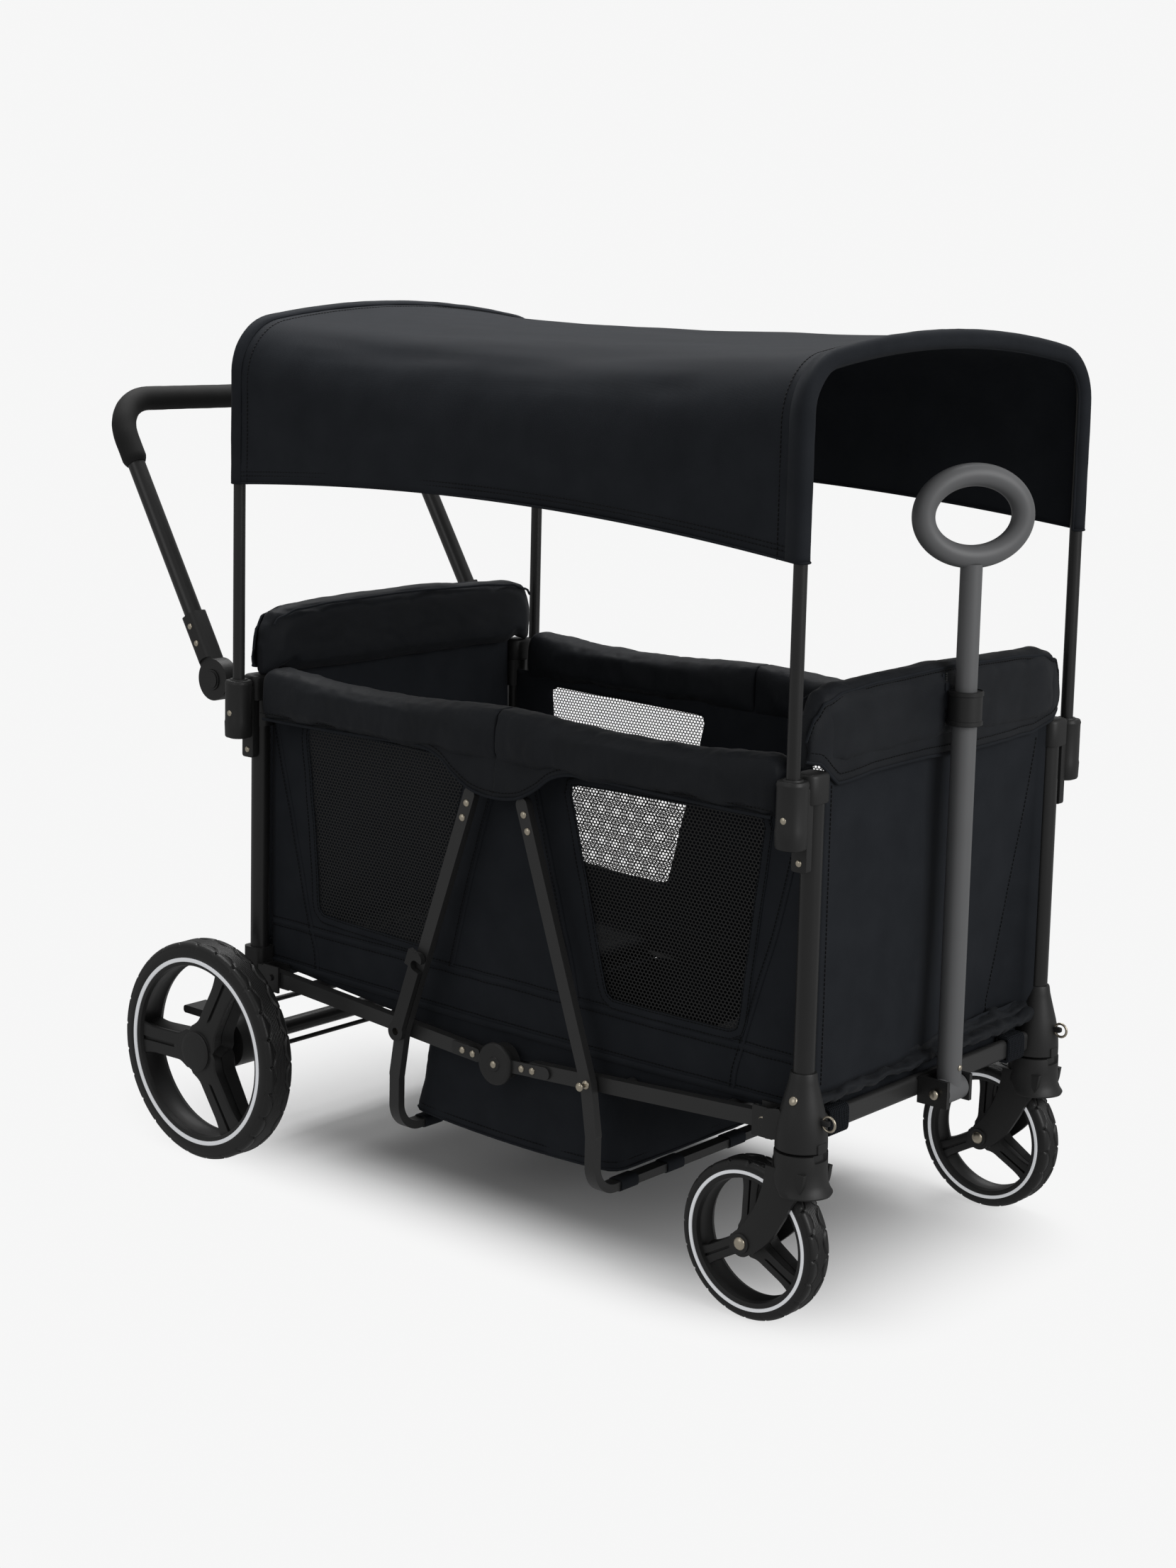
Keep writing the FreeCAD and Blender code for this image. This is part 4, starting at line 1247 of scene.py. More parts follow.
@dataclass(frozen=True)
class EndWall:
    """Cloth wall between the posts of one end, and the padded cover over the raised frame above it."""

    end: End
    half: float = 256.0
    base: float = 611.0
    wall_half: float = 226.0
    wall_z: tuple[float, float] = (259.0, 622.0)

    def top(self, x: float) -> float:
        """Height of the cover's top edge at x."""
        points = ((-256, 660), (-247, 686), (-232, 702), (-200, 710), (-137, 714), (0, 716.5), (137, 714),
                  (200, 710), (232, 702), (247, 686), (256, 660))
        return self.height_at(points, x, lambda t: t * t * (3 - 2 * t))

    def hem(self, x: float) -> float:
        """Height of the cover's lower edge at x: it dips beside one post and rises towards the other."""
        points = ((-256, 630), (-238, 626), (-222, 612), (-206, 601), (-188, 602), (-150, 606), (-46, 608),
                  (60, 605), (184, 609), (225, 617), (256, 630))
        return self.height_at(points, x, lambda t: t) + 1.6 * ripple(x / 40, 4, 4)

    @staticmethod
    def height_at(points: Outline, x: float, ease: Callable[[float], float]) -> float:
        """Height at x on a line through (x, height) points, eased between them."""
        for (a, za), (b, zb) in zip(points, points[1:]):
            if x <= b:
                return za + (zb - za) * ease(max(0.0, (x - a) / (b - a)))
        return points[-1][1]

    def taper(self, x: float) -> float:
        """Share of the cover's full thickness at x: it narrows at its ends."""
        return 0.30 + 0.70 * clamp((self.half - abs(x)) / 28) ** 0.5

    def cover(self) -> Shape:
        """Closed padded form, thick in the middle and narrow at its ends."""
        rows = []
        for k in range(81):
            u = -1 + 2 * k / 80
            x = self.half * math.copysign(1 - (1 - abs(u)) ** 1.6, u)
            base = self.base + 8.5 * clamp((abs(x) - 200) / 20)
            rise = self.top(x) - base
            ring = []
            for a, b in pillow(32 * self.taper(x), rise, 0.5, 40):
                ring.append(DATUM.near(self.end, x, 8.0 + a, base + rise / 2 + b))
            rows.append(ring)
        return Shape().grid(rows, wrap_row=True, caps=True)

    def build(self) -> None:
        """Makes the cover, its flap, the wall below, zip, seams and the bunched hem."""
        tag, body = str(self.end), f"{self.end}_frame"
        pad = stuff(self.cover().build(f"{tag}_cover_pad", LINING), PAD_VOXEL, PAD_REACH)
        crumple(pad, 0.024, 0.0010, Vector((0.5, 1, 1)))
        crumple(pad, 0.10, 0.0020, Vector((1, 1, 0.7)))
        hang(pad, body, [f"{tag}_cover"])
        rows = []
        for k in range(127):
            x = -255 + 510 * k / 126
            low, high = self.hem(x), self.top(x) - 11.0
            column = []
            for j in range(19):
                t = j / 18
                bulge = 2.6 * math.sin(math.pi * min(1.0, t * 1.15)) ** 0.7
                fold = 2.4 * (1 - t) ** 1.2 * ripple(x / 46, t * 1.5, 2)
                face = 8.6 - 16 * self.taper(x)
                column.append(DATUM.near(self.end, x, face - bulge + fold, low + (high - low) * t))
            rows.append(column)
        flap = Shape().grid(rows).build(f"{tag}_cover_flap", LINING, closed=False)
        hang(cloth_piece(flap, 1.6), body)
        trims, seams = Shape(), []
        out = -1 if self.end is End.FRONT else 1
        edge, ridge = [r[0] for r in rows], [r[-1] for r in rows]
        trims.sweep(edge, circle(2.2, 8), Vector((0, 0, 1)))
        trims.sweep(ridge, circle(1.7, 8), Vector((0, 1, 0)))
        inner = []
        for k in range(101):
            x = -240 + 480 * k / 100
            inner.append(DATUM.near(self.end, x, 24.2, self.top(x) - 11))
        trims.sweep(inner, circle(1.6, 8), Vector((0, 1, 0)))
        seams.append([p + Vector((0, out * 0.0030, 0.0105)) for p in edge])
        seams.append([p + Vector((0, out * 0.0016, -0.0030)) for p in ridge])
        hang(trims.build(f"{tag}_cover_piping", CLOTH), body)
        hang(row(f"{tag}_cover_stitches", seams, THREAD), body)
        self.zip(tag, body)
        self.wall(tag, body)

    def zip(self, tag: str, body: str) -> None:
        """Short zip down the middle of the cover with its puller."""
        tape = [DATUM.near(self.end, -13, -11.4, 700 - 58 * k / 20) for k in range(21)]
        strip = Shape().sweep(tape, circle(5.5, 8, 0.16), Vector((0, 1, 0)))
        slider = rounded([(-17, 690), (-9, 690), (-9, 681), (-17, 681)], 2)
        way = DATUM.near(self.end, 0, -4.2, 0) - DATUM.near(self.end, 0, 0, 0)
        strip.plate([DATUM.near(self.end, x, -11.6, z) for x, z in slider], way)
        puller = rounded([(-15.5, 683), (-10.5, 683), (-9.5, 660), (-16.5, 660)], 2)
        strip.plate([DATUM.near(self.end, x, -13.6, z) for x, z in puller], way * 0.35)
        hang(strip.build(f"{tag}_zip", CLOTH), body)
        teeth = [DATUM.near(self.end, -13, -12.6, 700 - 58 * k / 20) for k in range(21)]
        hang(row(f"{tag}_zip_teeth", [teeth], STEEL, 2.0, 1.2, 1.7), body)

    @staticmethod
    def low_down(z: float) -> float:
        """How far down the wall a height is, from 0 at the cover to 1 near the crossbar."""
        return clamp((610 - z) / 330)

    @staticmethod
    def gusset_x(z: float) -> float:
        """Where the wall meets its side gusset, which widens downwards."""
        return 208 - 44 * EndWall.low_down(z)

    @staticmethod
    def wall_depth(x: float, z: float) -> float:
        """How far the wall stands in from the post plane: taut by one post, tucked in by the other."""
        low = EndWall.low_down(z)
        pull = 1 - (abs(x) / 226) ** 4
        deep = 3.2 * ripple(x / 120, z / 210, 6) + 1.2 * ripple(x / 30, z / 160, 2)
        seam = EndWall.gusset_x(z)
        tuck = 26 * low ** 1.3 * clamp((x + 90) / 250) ** 1.5
        if x > seam:
            share = (x - seam) / (226 - seam)
            crease = math.sin(math.pi * share) ** 0.8 * (5 + 15 * low)
            tuck = tuck * (1 - share) + crease + 2.2 * math.sin(9 * share) * low
        return -1.5 + deep * pull - 2.0 * (1 - pull) + tuck

    def wall(self, tag: str, body: str) -> None:
        """Cloth wall below the cover, with its side gussets and the bunched hem on the crossbar."""
        rows = []
        for k in range(71):
            x = -self.wall_half + 2 * self.wall_half * k / 70
            column = []
            for j in range(51):
                z = self.wall_z[0] + (self.wall_z[1] - self.wall_z[0]) * j / 50
                column.append(DATUM.near(self.end, x, self.wall_depth(x, z), z))
            rows.append(column)
        cloth = Shape().grid(rows).build(f"{tag}_wall", CLOTH, closed=False)
        thicken(cloth, 1.2)
        tuck = []
        for k in range(41):
            x, y = -222 + 444 * k / 40, 13 + 1.5 * math.sin(k)
            tuck.append([DATUM.near(self.end, x, y, 272 - 54 * j / 4) for j in range(5)])
        hem = Shape().grid(tuck).build(f"{tag}_wall_tuck", CLOTH, closed=False)
        hang(cloth_piece(hem, 1.0), body)
        bundle = Shape()
        for shift, width, high in ((0.0, 26, 12), (9.0, 17, 20)):
            spine = []
            for k in range(151):
                y = 2 + shift + 5 * ripple(k / 9, shift, 1)
                z = 256 + shift * 0.5 + 5 * ripple(k / 8, 4, shift)
                spine.append(DATUM.near(self.end, -223 + 446 * k / 150, y, z))
            bundle.sweep(spine, pillow(width, high, 0.9, 24), Vector((0, 0, 1)))
        roll = bundle.build(f"{tag}_hem_roll", LINING)
        crumple(roll, 0.016, 0.0050, Vector((0.55, 1, 1)))
        out = -1.4
        seams = [[], []]
        for k in range(61):
            z = 272 + 326 * k / 60
            turn = self.gusset_x(z) - 4
            for line, x in zip(seams, (-214, turn)):
                line.append(DATUM.near(self.end, x, self.wall_depth(x, z) + out, z))
        thread = row(f"{tag}_wall_stitches", seams, THREAD)
        hang(cloth, body, [f"{tag}_panel"])
        hang(roll, body)
        hang(thread, body)


@dataclass(frozen=True)
class Seats:
    """Quilted seat boards that ride on the lower rails."""

    near: float = 27.0
    far: float = 243.0
    channel: float = 54.0
    above_rail: float = 17.5
    width: float = 446.0
    thick: float = 15.0

    def build(self) -> None:
        """Makes both boards from one puffed master."""
        rows = []
        slope = math.atan2(RAIL_RUN[1], RAIL_RUN[0])
        pivot = DATUM.at(0, *RAIL_PIVOT)
        turn = Matrix.Rotation(-slope, 3, "X")
        for k in range(61):
            s = self.near + (self.far - self.near) * k / 60
            end = min(1.0, 0.55 + 0.45 * min(s - self.near, self.far - s) / 8)
            quilt = 1 - 0.16 * abs(math.sin(math.pi * (s - self.near) / self.channel)) ** 0.5
            rows.append([pivot + turn @ (Vector((x, s, self.above_rail + z * end * (2 - quilt) / 1.16)) * MM)
                         for x, z in pillow(self.width, self.thick, 0.22, 64)])
        first = stuff(Shape().grid(rows, wrap_row=True, caps=True).build("seat_master", LINING), 6.0, 3.0)
        crumple(first, 0.03, 0.0007)
        for end in End:
            piece = Rims.copy_of(first, f"{end}_seat", Side.LEFT, end)
            hang(piece, f"{end}_rails", [f"{end}_board"])
            drop = [(232, 229), (246, 224), (262, 218), (274, 215), (284, 213)]
            apron = [[DATUM.near(end, -226 + 452 * k / 30, s, z) for s, z in drop] for k in range(31)]
            strip = Shape().grid(apron).build(f"{end}_seat_apron", LINING, closed=False)
            body = f"{end}_rails"
            hang(cloth_piece(strip, 1.0), body)
        bpy.data.objects.remove(first)


@dataclass(frozen=True)
class Footwell:
    """Cloth tub between the two bottom loops."""

    top_z: float = 213.0
    floor_z: float = 105.0
    top_y: tuple[float, float] = (287.0, 578.0)
    floor_y: tuple[float, float] = (269.0, 599.0)
    half: tuple[float, float] = (225.5, 225.5)

    def ring(self, share: float, inset: float = 0.0) -> list[Vector]:
        """Rounded rectangle at a share of the way down, slightly bowed."""
        y0 = self.top_y[0] + (self.floor_y[0] - self.top_y[0]) * share + inset
        y1 = self.top_y[1] + (self.floor_y[1] - self.top_y[1]) * share - inset
        half = self.half[0] + (self.half[1] - self.half[0]) * share - inset
        z = self.top_z + (self.floor_z - self.top_z) * share
        outline = rounded([(-half, y0), (half, y0), (half, y1), (-half, y1)], 22)
        line = spaced([Vector((a, b, 0)) for a, b in outline], 150, closed=True)
        out = []
        for p in line:
            sway = 2.5 * math.sin(math.pi * share) * ripple(p.x / 60, p.y / 60, share * 3)
            drop = -5.0 * (1 - (abs(p.y - MID) / 150) ** 2) * share if inset == 0 else -5.0
            side = 1 + sway / 200
            bow = 0 if share < 1 else inset * -0.01
            out.append(DATUM.at(p.x * side, MID + (p.y - MID) * side, z + drop + bow))
        return out

    def build(self) -> None:
        """Makes the tub, its top and bottom bindings, and the loops that hold it to the bars."""
        rows = [self.ring(j / 14) for j in range(15)]
        rows += [self.ring(1.0, inset) for inset in (8, 20, 40, 70, 100, 125, 139)]
        tub = Shape().grid(rows, wrap_row=True).build("footwell_cloth", CLOTH, closed=False)
        work = bmesh.new()
        work.from_mesh(tub.data)
        open_edges = [e for e in work.edges if e.is_boundary and e.verts[0].co.z < DATUM.at(0, 0, 150).z]
        bmesh.ops.holes_fill(work, edges=open_edges)
        bmesh.ops.recalc_face_normals(work, faces=work.faces)
        work.to_mesh(tub.data)
        work.free()
        lowest = min(tub.data.polygons, key=lambda f: f.center.z)
        if lowest.normal.z > 0:
            tub.data.flip_normals()
        crumple(tub, 0.05, 0.0016)
        thicken(tub, 1.4)
        trims = Shape()
        for share in (0.0, 1.0):
            trims.sweep(self.ring(share), circle(2.6, 8, 0.7), Vector((0, 0, 1)), closed=True)
        trim = trims.build("footwell_bindings", CLOTH)
        folds = Folds("front_arm_fold", DATUM.front_y + 0.2745, 0.16)
        seams = [self.ring(share) for share in (0.08, 0.92)]
        outward = [[Vector((p.x * 1.006, p.y, p.z)) for p in line + line[:1]] for line in seams]
        thread = row("footwell_stitches", outward, THREAD)
        hang(tub, "front_arms", ["footwell"], folds)
        hang(trim, "front_arms", folds=folds)
        hang(thread, "front_arms", folds=folds)
        for end in End:
            loops = Shape()
            for x in (-205, -120, 0, 120, 205):
                outline = [(274.5 + a, 88 + b) for a, b in pillow(21, 15, 0.6, 20)]
                inner = [(274.5 + a, 88 + b) for a, b in pillow(18, 12, 0.6, 20)]
                rows = []
                for profile, shift in ((outline, -15), (outline, 15), (inner, 15), (inner, -15)):
                    rows.append([DATUM.near(end, x + shift, y, z) for y, z in profile])
                loops.grid(rows, wrap_row=True, wrap_rows=True)
            hang(loops.build(f"{end}_loop_straps", CLOTH), f"{end}_arms")


# ---- wheels ----
@dataclass(frozen=True)
class Wheel:
    """Tyre with a scalloped shoulder, three-spoke rim, white rings with a painted glow, and hub."""

    label: str
    body: str
    centre: Vector
    radius: float
    width: float
    rim: float
    hub: float
    turn: float
    scallops: int
    band: float

    def node(self, kind: str) -> str:
        """Name of this wheel's CAD node of a kind."""
        return self.label.replace("_", f"_{kind}_")

    def spin(self, along: float, radius: float, angle: float) -> Vector:
        """A point given along the axle, out from it and round it (degrees from up, towards the rear)."""
        t = math.radians(angle)
        return self.centre + Vector((along, radius * math.sin(t), radius * math.cos(t))) * MM

    def tyre(self) -> None:
        """Tyre as a ring of sections, a scalloped groove pressed into each shoulder of its tread."""
        half, outer, bead = self.width / 2, self.radius, self.rim + 0.2
        turns, rows = self.scallops * 14, []
        shoulder = 7.0
        step = (outer - bead) * 0.72
        profile = [(-half + 1.5, bead), (-half, bead + 3), (-half, bead + step - 1.5),
                   (-half + 0.9, bead + step)]
        profile += arc((-half + shoulder, outer - shoulder), shoulder - 0.6, 168, 90, 8)
        flat = half - shoulder
        profile += [(-flat + 2 * flat * k / 46, outer - 0.6) for k in range(1, 46)]
        profile += arc((half - shoulder, outer - shoulder), shoulder - 0.6, 90, 12, 8)
        profile += [(half - 0.9, bead + step), (half, bead + step - 1.5), (half, bead + 3),
                    (half - 1.5, bead)]
        for k in range(turns):
            share = (self.scallops * k / turns) % 1.0
            ring = [self.spin(a, r + self.tread(a, r, share, half), 360 * k / turns) for a, r in profile]
            rows.append(ring)
        ring = Shape().grid(rows, wrap_row=True, wrap_rows=True)
        hang(ring.build(f"{self.label}_tyre_skin", RUBBER, sharp=60), self.body, [self.node("tyre")])

    def tread(self, along: float, radius: float, share: float, half: float) -> float:
        """Height added to the tyre at a point; share runs from 0 to 1 over one scallop."""
        if radius < self.radius - 6.0:
            return 0.0
        edge = half - 6.0 - 7.0 * math.sin(math.pi * share) ** 0.75
        gap = abs(along) - edge
        block_rise = 0.5 * clamp(gap / 1.2)
        groove = -2.2 * max(0.0, 1 - abs(gap) / 1.5)
        tick = -1.8 * max(0.0, 1 - min(share, 1 - share) / 0.06) if gap > 0 else 0.0
        ribs = 0.25 * math.cos(along * 2.6) if gap < -1.5 else 0.0
        return block_rise + groove + tick + ribs - 0.3

    def spoke(self, shape: Shape, angle: float, sign: int) -> None:
        """One face of a deep, wide spoke with a slot that runs out to the rim."""
        start, reach = self.hub * 0.5, self.rim - 4.5
        waist = self.hub * (0.72 if self.hub > 20 else 0.62)
        rows = []
        for k in range(23):
            t = k / 22
            r = start + (reach - start) * t
            near_hub = max(0.0, 1 - (r - self.hub * 0.9) / (self.hub * 0.7)) ** 2
            near_rim = max(0.0, (t - 0.70) / 0.30) ** 2
            wide = waist * (1 + 0.42 * min(1.0, near_hub) + 0.34 * near_rim)
            proud = self.width / 2 - 2.2 - 3.6 * t
            slot = 3.2 * clamp((r - self.hub * 1.78) / 3.0)
            mid_plane = -proud + 0.4
            across = [(-0.72, mid_plane), (-0.97, -2.2), (-0.90, -0.5), (-0.80, 0), (-0.13, 0.0),
                      (-0.10, -slot), (0.10, -slot), (0.13, 0.0), (0.80, 0), (0.90, -0.5), (0.97, -2.2),
                      (0.72, mid_plane)]
            row_points = []
            for u, lift in across:
                swing = math.degrees(math.atan2(wide * u, r))
                row_points.append(self.spin(sign * (proud + lift), math.hypot(r, wide * u), angle + swing))
            rows.append(row_points)
        shape.grid(rows, wrap_row=True, caps=True)

    def build(self) -> None:
        """Makes the tyre, rim, rings and hub."""
        self.tyre()
        half = self.width / 2 - 1
        lip = self.rim
        barrel = [(-half, lip), (half, lip), (half + 0.5, lip - 2.5), (half - 1, lip - 6.5),
                  (half - 6, lip - 8), (half - 10, lip - 5.5), (0, lip - 5), (-half + 10, lip - 5.5),
                  (-half + 6, lip - 8),
                  (-half + 1, lip - 6.5), (-half - 0.5, lip - 2.5)]
        shape = Shape().lathe(barrel, self.centre, steps=120)
        big = self.hub
        hub = [(-half - 0.5, 0.01), (-half - 0.5, big * 0.9), (-half + 0.8, big), (-half + 4, big * 1.08),
               (half - 4, big * 1.08), (half - 0.8, big), (half + 0.5, big * 0.9), (half + 0.5, 0.01)]
        shape.lathe(hub, self.centre, steps=64)
        for k in range(3):
            for sign in SIDES:
                self.spoke(shape, self.turn + 120 * k, sign)
        hang(shape.build(f"{self.label}_rim_body", PLASTIC, sharp=35), self.body, [self.node("rim")])
        # The white bands take the RING finish, whose emission is a painted glow.
        rings = Shape()
        for sign in SIDES:
            low, high = sign * (self.width / 2 - 1.5), sign * (self.width / 2 + 0.8)
            band = [(low, lip - self.band * 0.35), (high, lip - self.band * 0.30),
                    (high, lip + self.band * 0.68), (low, lip + self.band * 0.72)]
            rings.lathe(band, self.centre, steps=144)
        hang(rings.build(f"{self.label}_rings", RING, bevel=0.3), self.body)


@dataclass(frozen=True)
class HubCap:
    """Round cap on the outer face of a rear wheel."""

    side: Side

    def build(self) -> None:
        """Makes a dished cap with a raised rim."""
        tag = self.side.name.lower()
        centre = middle(f"rear_tyre_{tag}")
        s = self.side.value
        steps = ((18, 0.01), (18, 25), (21.6, 25.6), (22.4, 24.4), (22.8, 20), (23.2, 0.01))
        cap = Shape().lathe([(s * out, r) for out, r in steps], centre, steps=64)
        hang(cap.build(f"rear_hub_cap_{tag}", PLASTIC, sharp=50), f"rear_wheel_{tag}")


@dataclass(frozen=True)
class Caster:
    """Swivel fork under a front socket, and the moulded socket itself."""

    side: Side
    axle_y: float = 57.0
    axle_z: float = 90.0

    def blade(self, x0: float, thick: float) -> Shape:
        """Curved blade from the swivel shell down and back to the axle."""
        fore = ((-24, 186), (-20, 166), (-8, 148), (5, 124), (20, 101), (42, 80))
        aft = ((70, 97), (54, 113), (41, 134), (33, 155), (29, 171), (27, 186))
        front, back = (smooth_line([Vector((y, z, 0)) for y, z in edge], 6) for edge in (fore, aft))
        tip = [Vector((p[0], p[1], 0)) for p in arc((self.axle_y, self.axle_z), 15.5, 212, 388, 16)]
        outline = [DATUM.at(x0, p.x, p.y) for p in front + tip + back]
        return Shape().plate(outline, Vector((thick * MM, 0, 0)))

    def shell(self, x: float) -> Shape:
        """Swivel shell round the post axis, with a lock window and a lip flared over the tyre's front."""
        rows = []
        for k in range(96):
            turn = 360 * k / 96
            off = min(turn, 360 - turn)
            behind = clamp((off - 95) / 45)
            low = 159 + 23 * behind
            flare = 6.5 * max(0.0, 1 - off / 105) ** 0.8
            window = off < 23
            upper = 26.0 if window else 29.2
            sill = 197.0 if window else 204.0
            top = 29.4
            profile = [(204.6, 0.01), (204.6, 24.5), (204.0, upper - 0.6), (sill, upper), (sill - 0.6, top),
                       (186, top + 0.3), (low + 12, top + 0.9), (low + 5, top + 1.6 + flare * 0.45),
                       (low + 1, top + 1.8 + flare), (low - 0.8, top + 1.0 + flare), (low + 2, top - 1.0),
                       (low + 9, top - 2.6), (188, top - 3.0), (189, 0.01)]
            t = math.radians(turn)
            rows.append([DATUM.at(x + r * math.sin(t), -r * math.cos(t), z) for z, r in profile])
        return Shape().grid(rows, wrap_row=True, wrap_rows=True)

    def build(self) -> None:
        """Makes the fork, its bolt and nut heads, the socket, and the fittings on it."""
        tag, s = self.side.name.lower(), self.side.value
        shape = Shape()
        for x0 in (20.2, -26.7):
            shape.add(self.blade(s * CASTER_X + x0, 6.5))
        fork = shape.build(f"fork_{tag}_body", PLASTIC, bevel=2.4, sharp=50)
        hang(fork, f"caster_{tag}", [f"fork_{tag}"])
        shell = self.shell(s * CASTER_X).build(f"fork_{tag}_shell", PLASTIC, sharp=42)
        hang(shell, f"caster_{tag}")
        boss, way = Shape(), Vector((1, 0, 0))
        axle = DATUM.at(s * CASTER_X, self.axle_y, self.axle_z)
        for sign in SIDES:
            washer = [(26, 0.01), (26, 11.5), (28.4, 11), (28.4, 0.01)]
            boss.lathe([(sign * out, r) for out, r in washer], axle, steps=40)
        hang(boss.build(f"fork_{tag}_washers", STEEL), f"caster_{tag}")
        bolts = [(axle + way * (sign * 28.4 * MM), way * sign) for sign in SIDES]
        hang(heads(f"fork_{tag}_bolt_heads", bolts, 7.6, 3.6), f"caster_{tag}")
        self.socket(tag, s)

    def socket(self, tag: str, s: int) -> None:
        """Moulded socket that narrows up to the post, with its lock tab, ring eye and rail ear."""
        profile = [(206.2, 12.3), (206.2, 27.6), (207.4, 28.8), (216, 28.7), (226, 28.1), (238, 26.6),
                   (250, 24.0), (262, 20.8), (272, 18.2), (281, 16.0), (289, 14.8), (290.6, 14.0),
                   (290.8, 12.15), (262, 12.15), (240, 12.3)]
        shape = Shape().lathe(profile, DATUM.at(s * CASTER_X, 0, 0), axis="Z", steps=72)
        piece = shape.build(f"socket_{tag}_shell", PLASTIC, sharp=38)
        hang(piece, "front_frame", [f"front_socket_{tag}"])
        extra = Shape()
        eye = rounded([(-19, 236), (-36, 237), (-36, 243), (-19, 244)], 2.5)
        extra.plate([DATUM.at(s * CASTER_X - 2.4, y, z) for y, z in eye], Vector((4.8 * MM, 0, 0)))
        tab = rounded([(-9, 206.4), (7, 206.4), (7, 217), (-9, 217)], 1.5)
        extra.plate([DATUM.at(s * CASTER_X + x, -26.4, z) for x, z in tab], Vector((0, -2.9 * MM, 0)))
        ear = rounded([(10, 216), (36, 212), (40, 222), (36, 246), (14, 250)], 6)
        extra.plate([DATUM.at(s * CASTER_X + s * 18.2, y, z) for y, z in ear], Vector((s * 2.6 * MM, 0, 0)))
        hang(extra.build(f"socket_{tag}_fittings", PLASTIC, bevel=0.7, sharp=50), "front_frame")
        lean = Vector((s * 0.9, 0, 0.43))
        screw = [(DATUM.at(s * 260.4, -2, 263), lean), (DATUM.at(s * 257.6, 40, 230), Vector((s, 0, 0)))]
        hang(heads(f"socket_{tag}_screws", screw, 5.4, 2.4), "front_frame")


def up_handle(x: float, s: float) -> Vector:
    """A point in the plane of the leaning push handle, s up it from its pivot."""
    return DATUM.at(x, PUSH_PIVOT[0] + s * math.sin(PUSH_LEAN), PUSH_PIVOT[1] + s * math.cos(PUSH_LEAN))


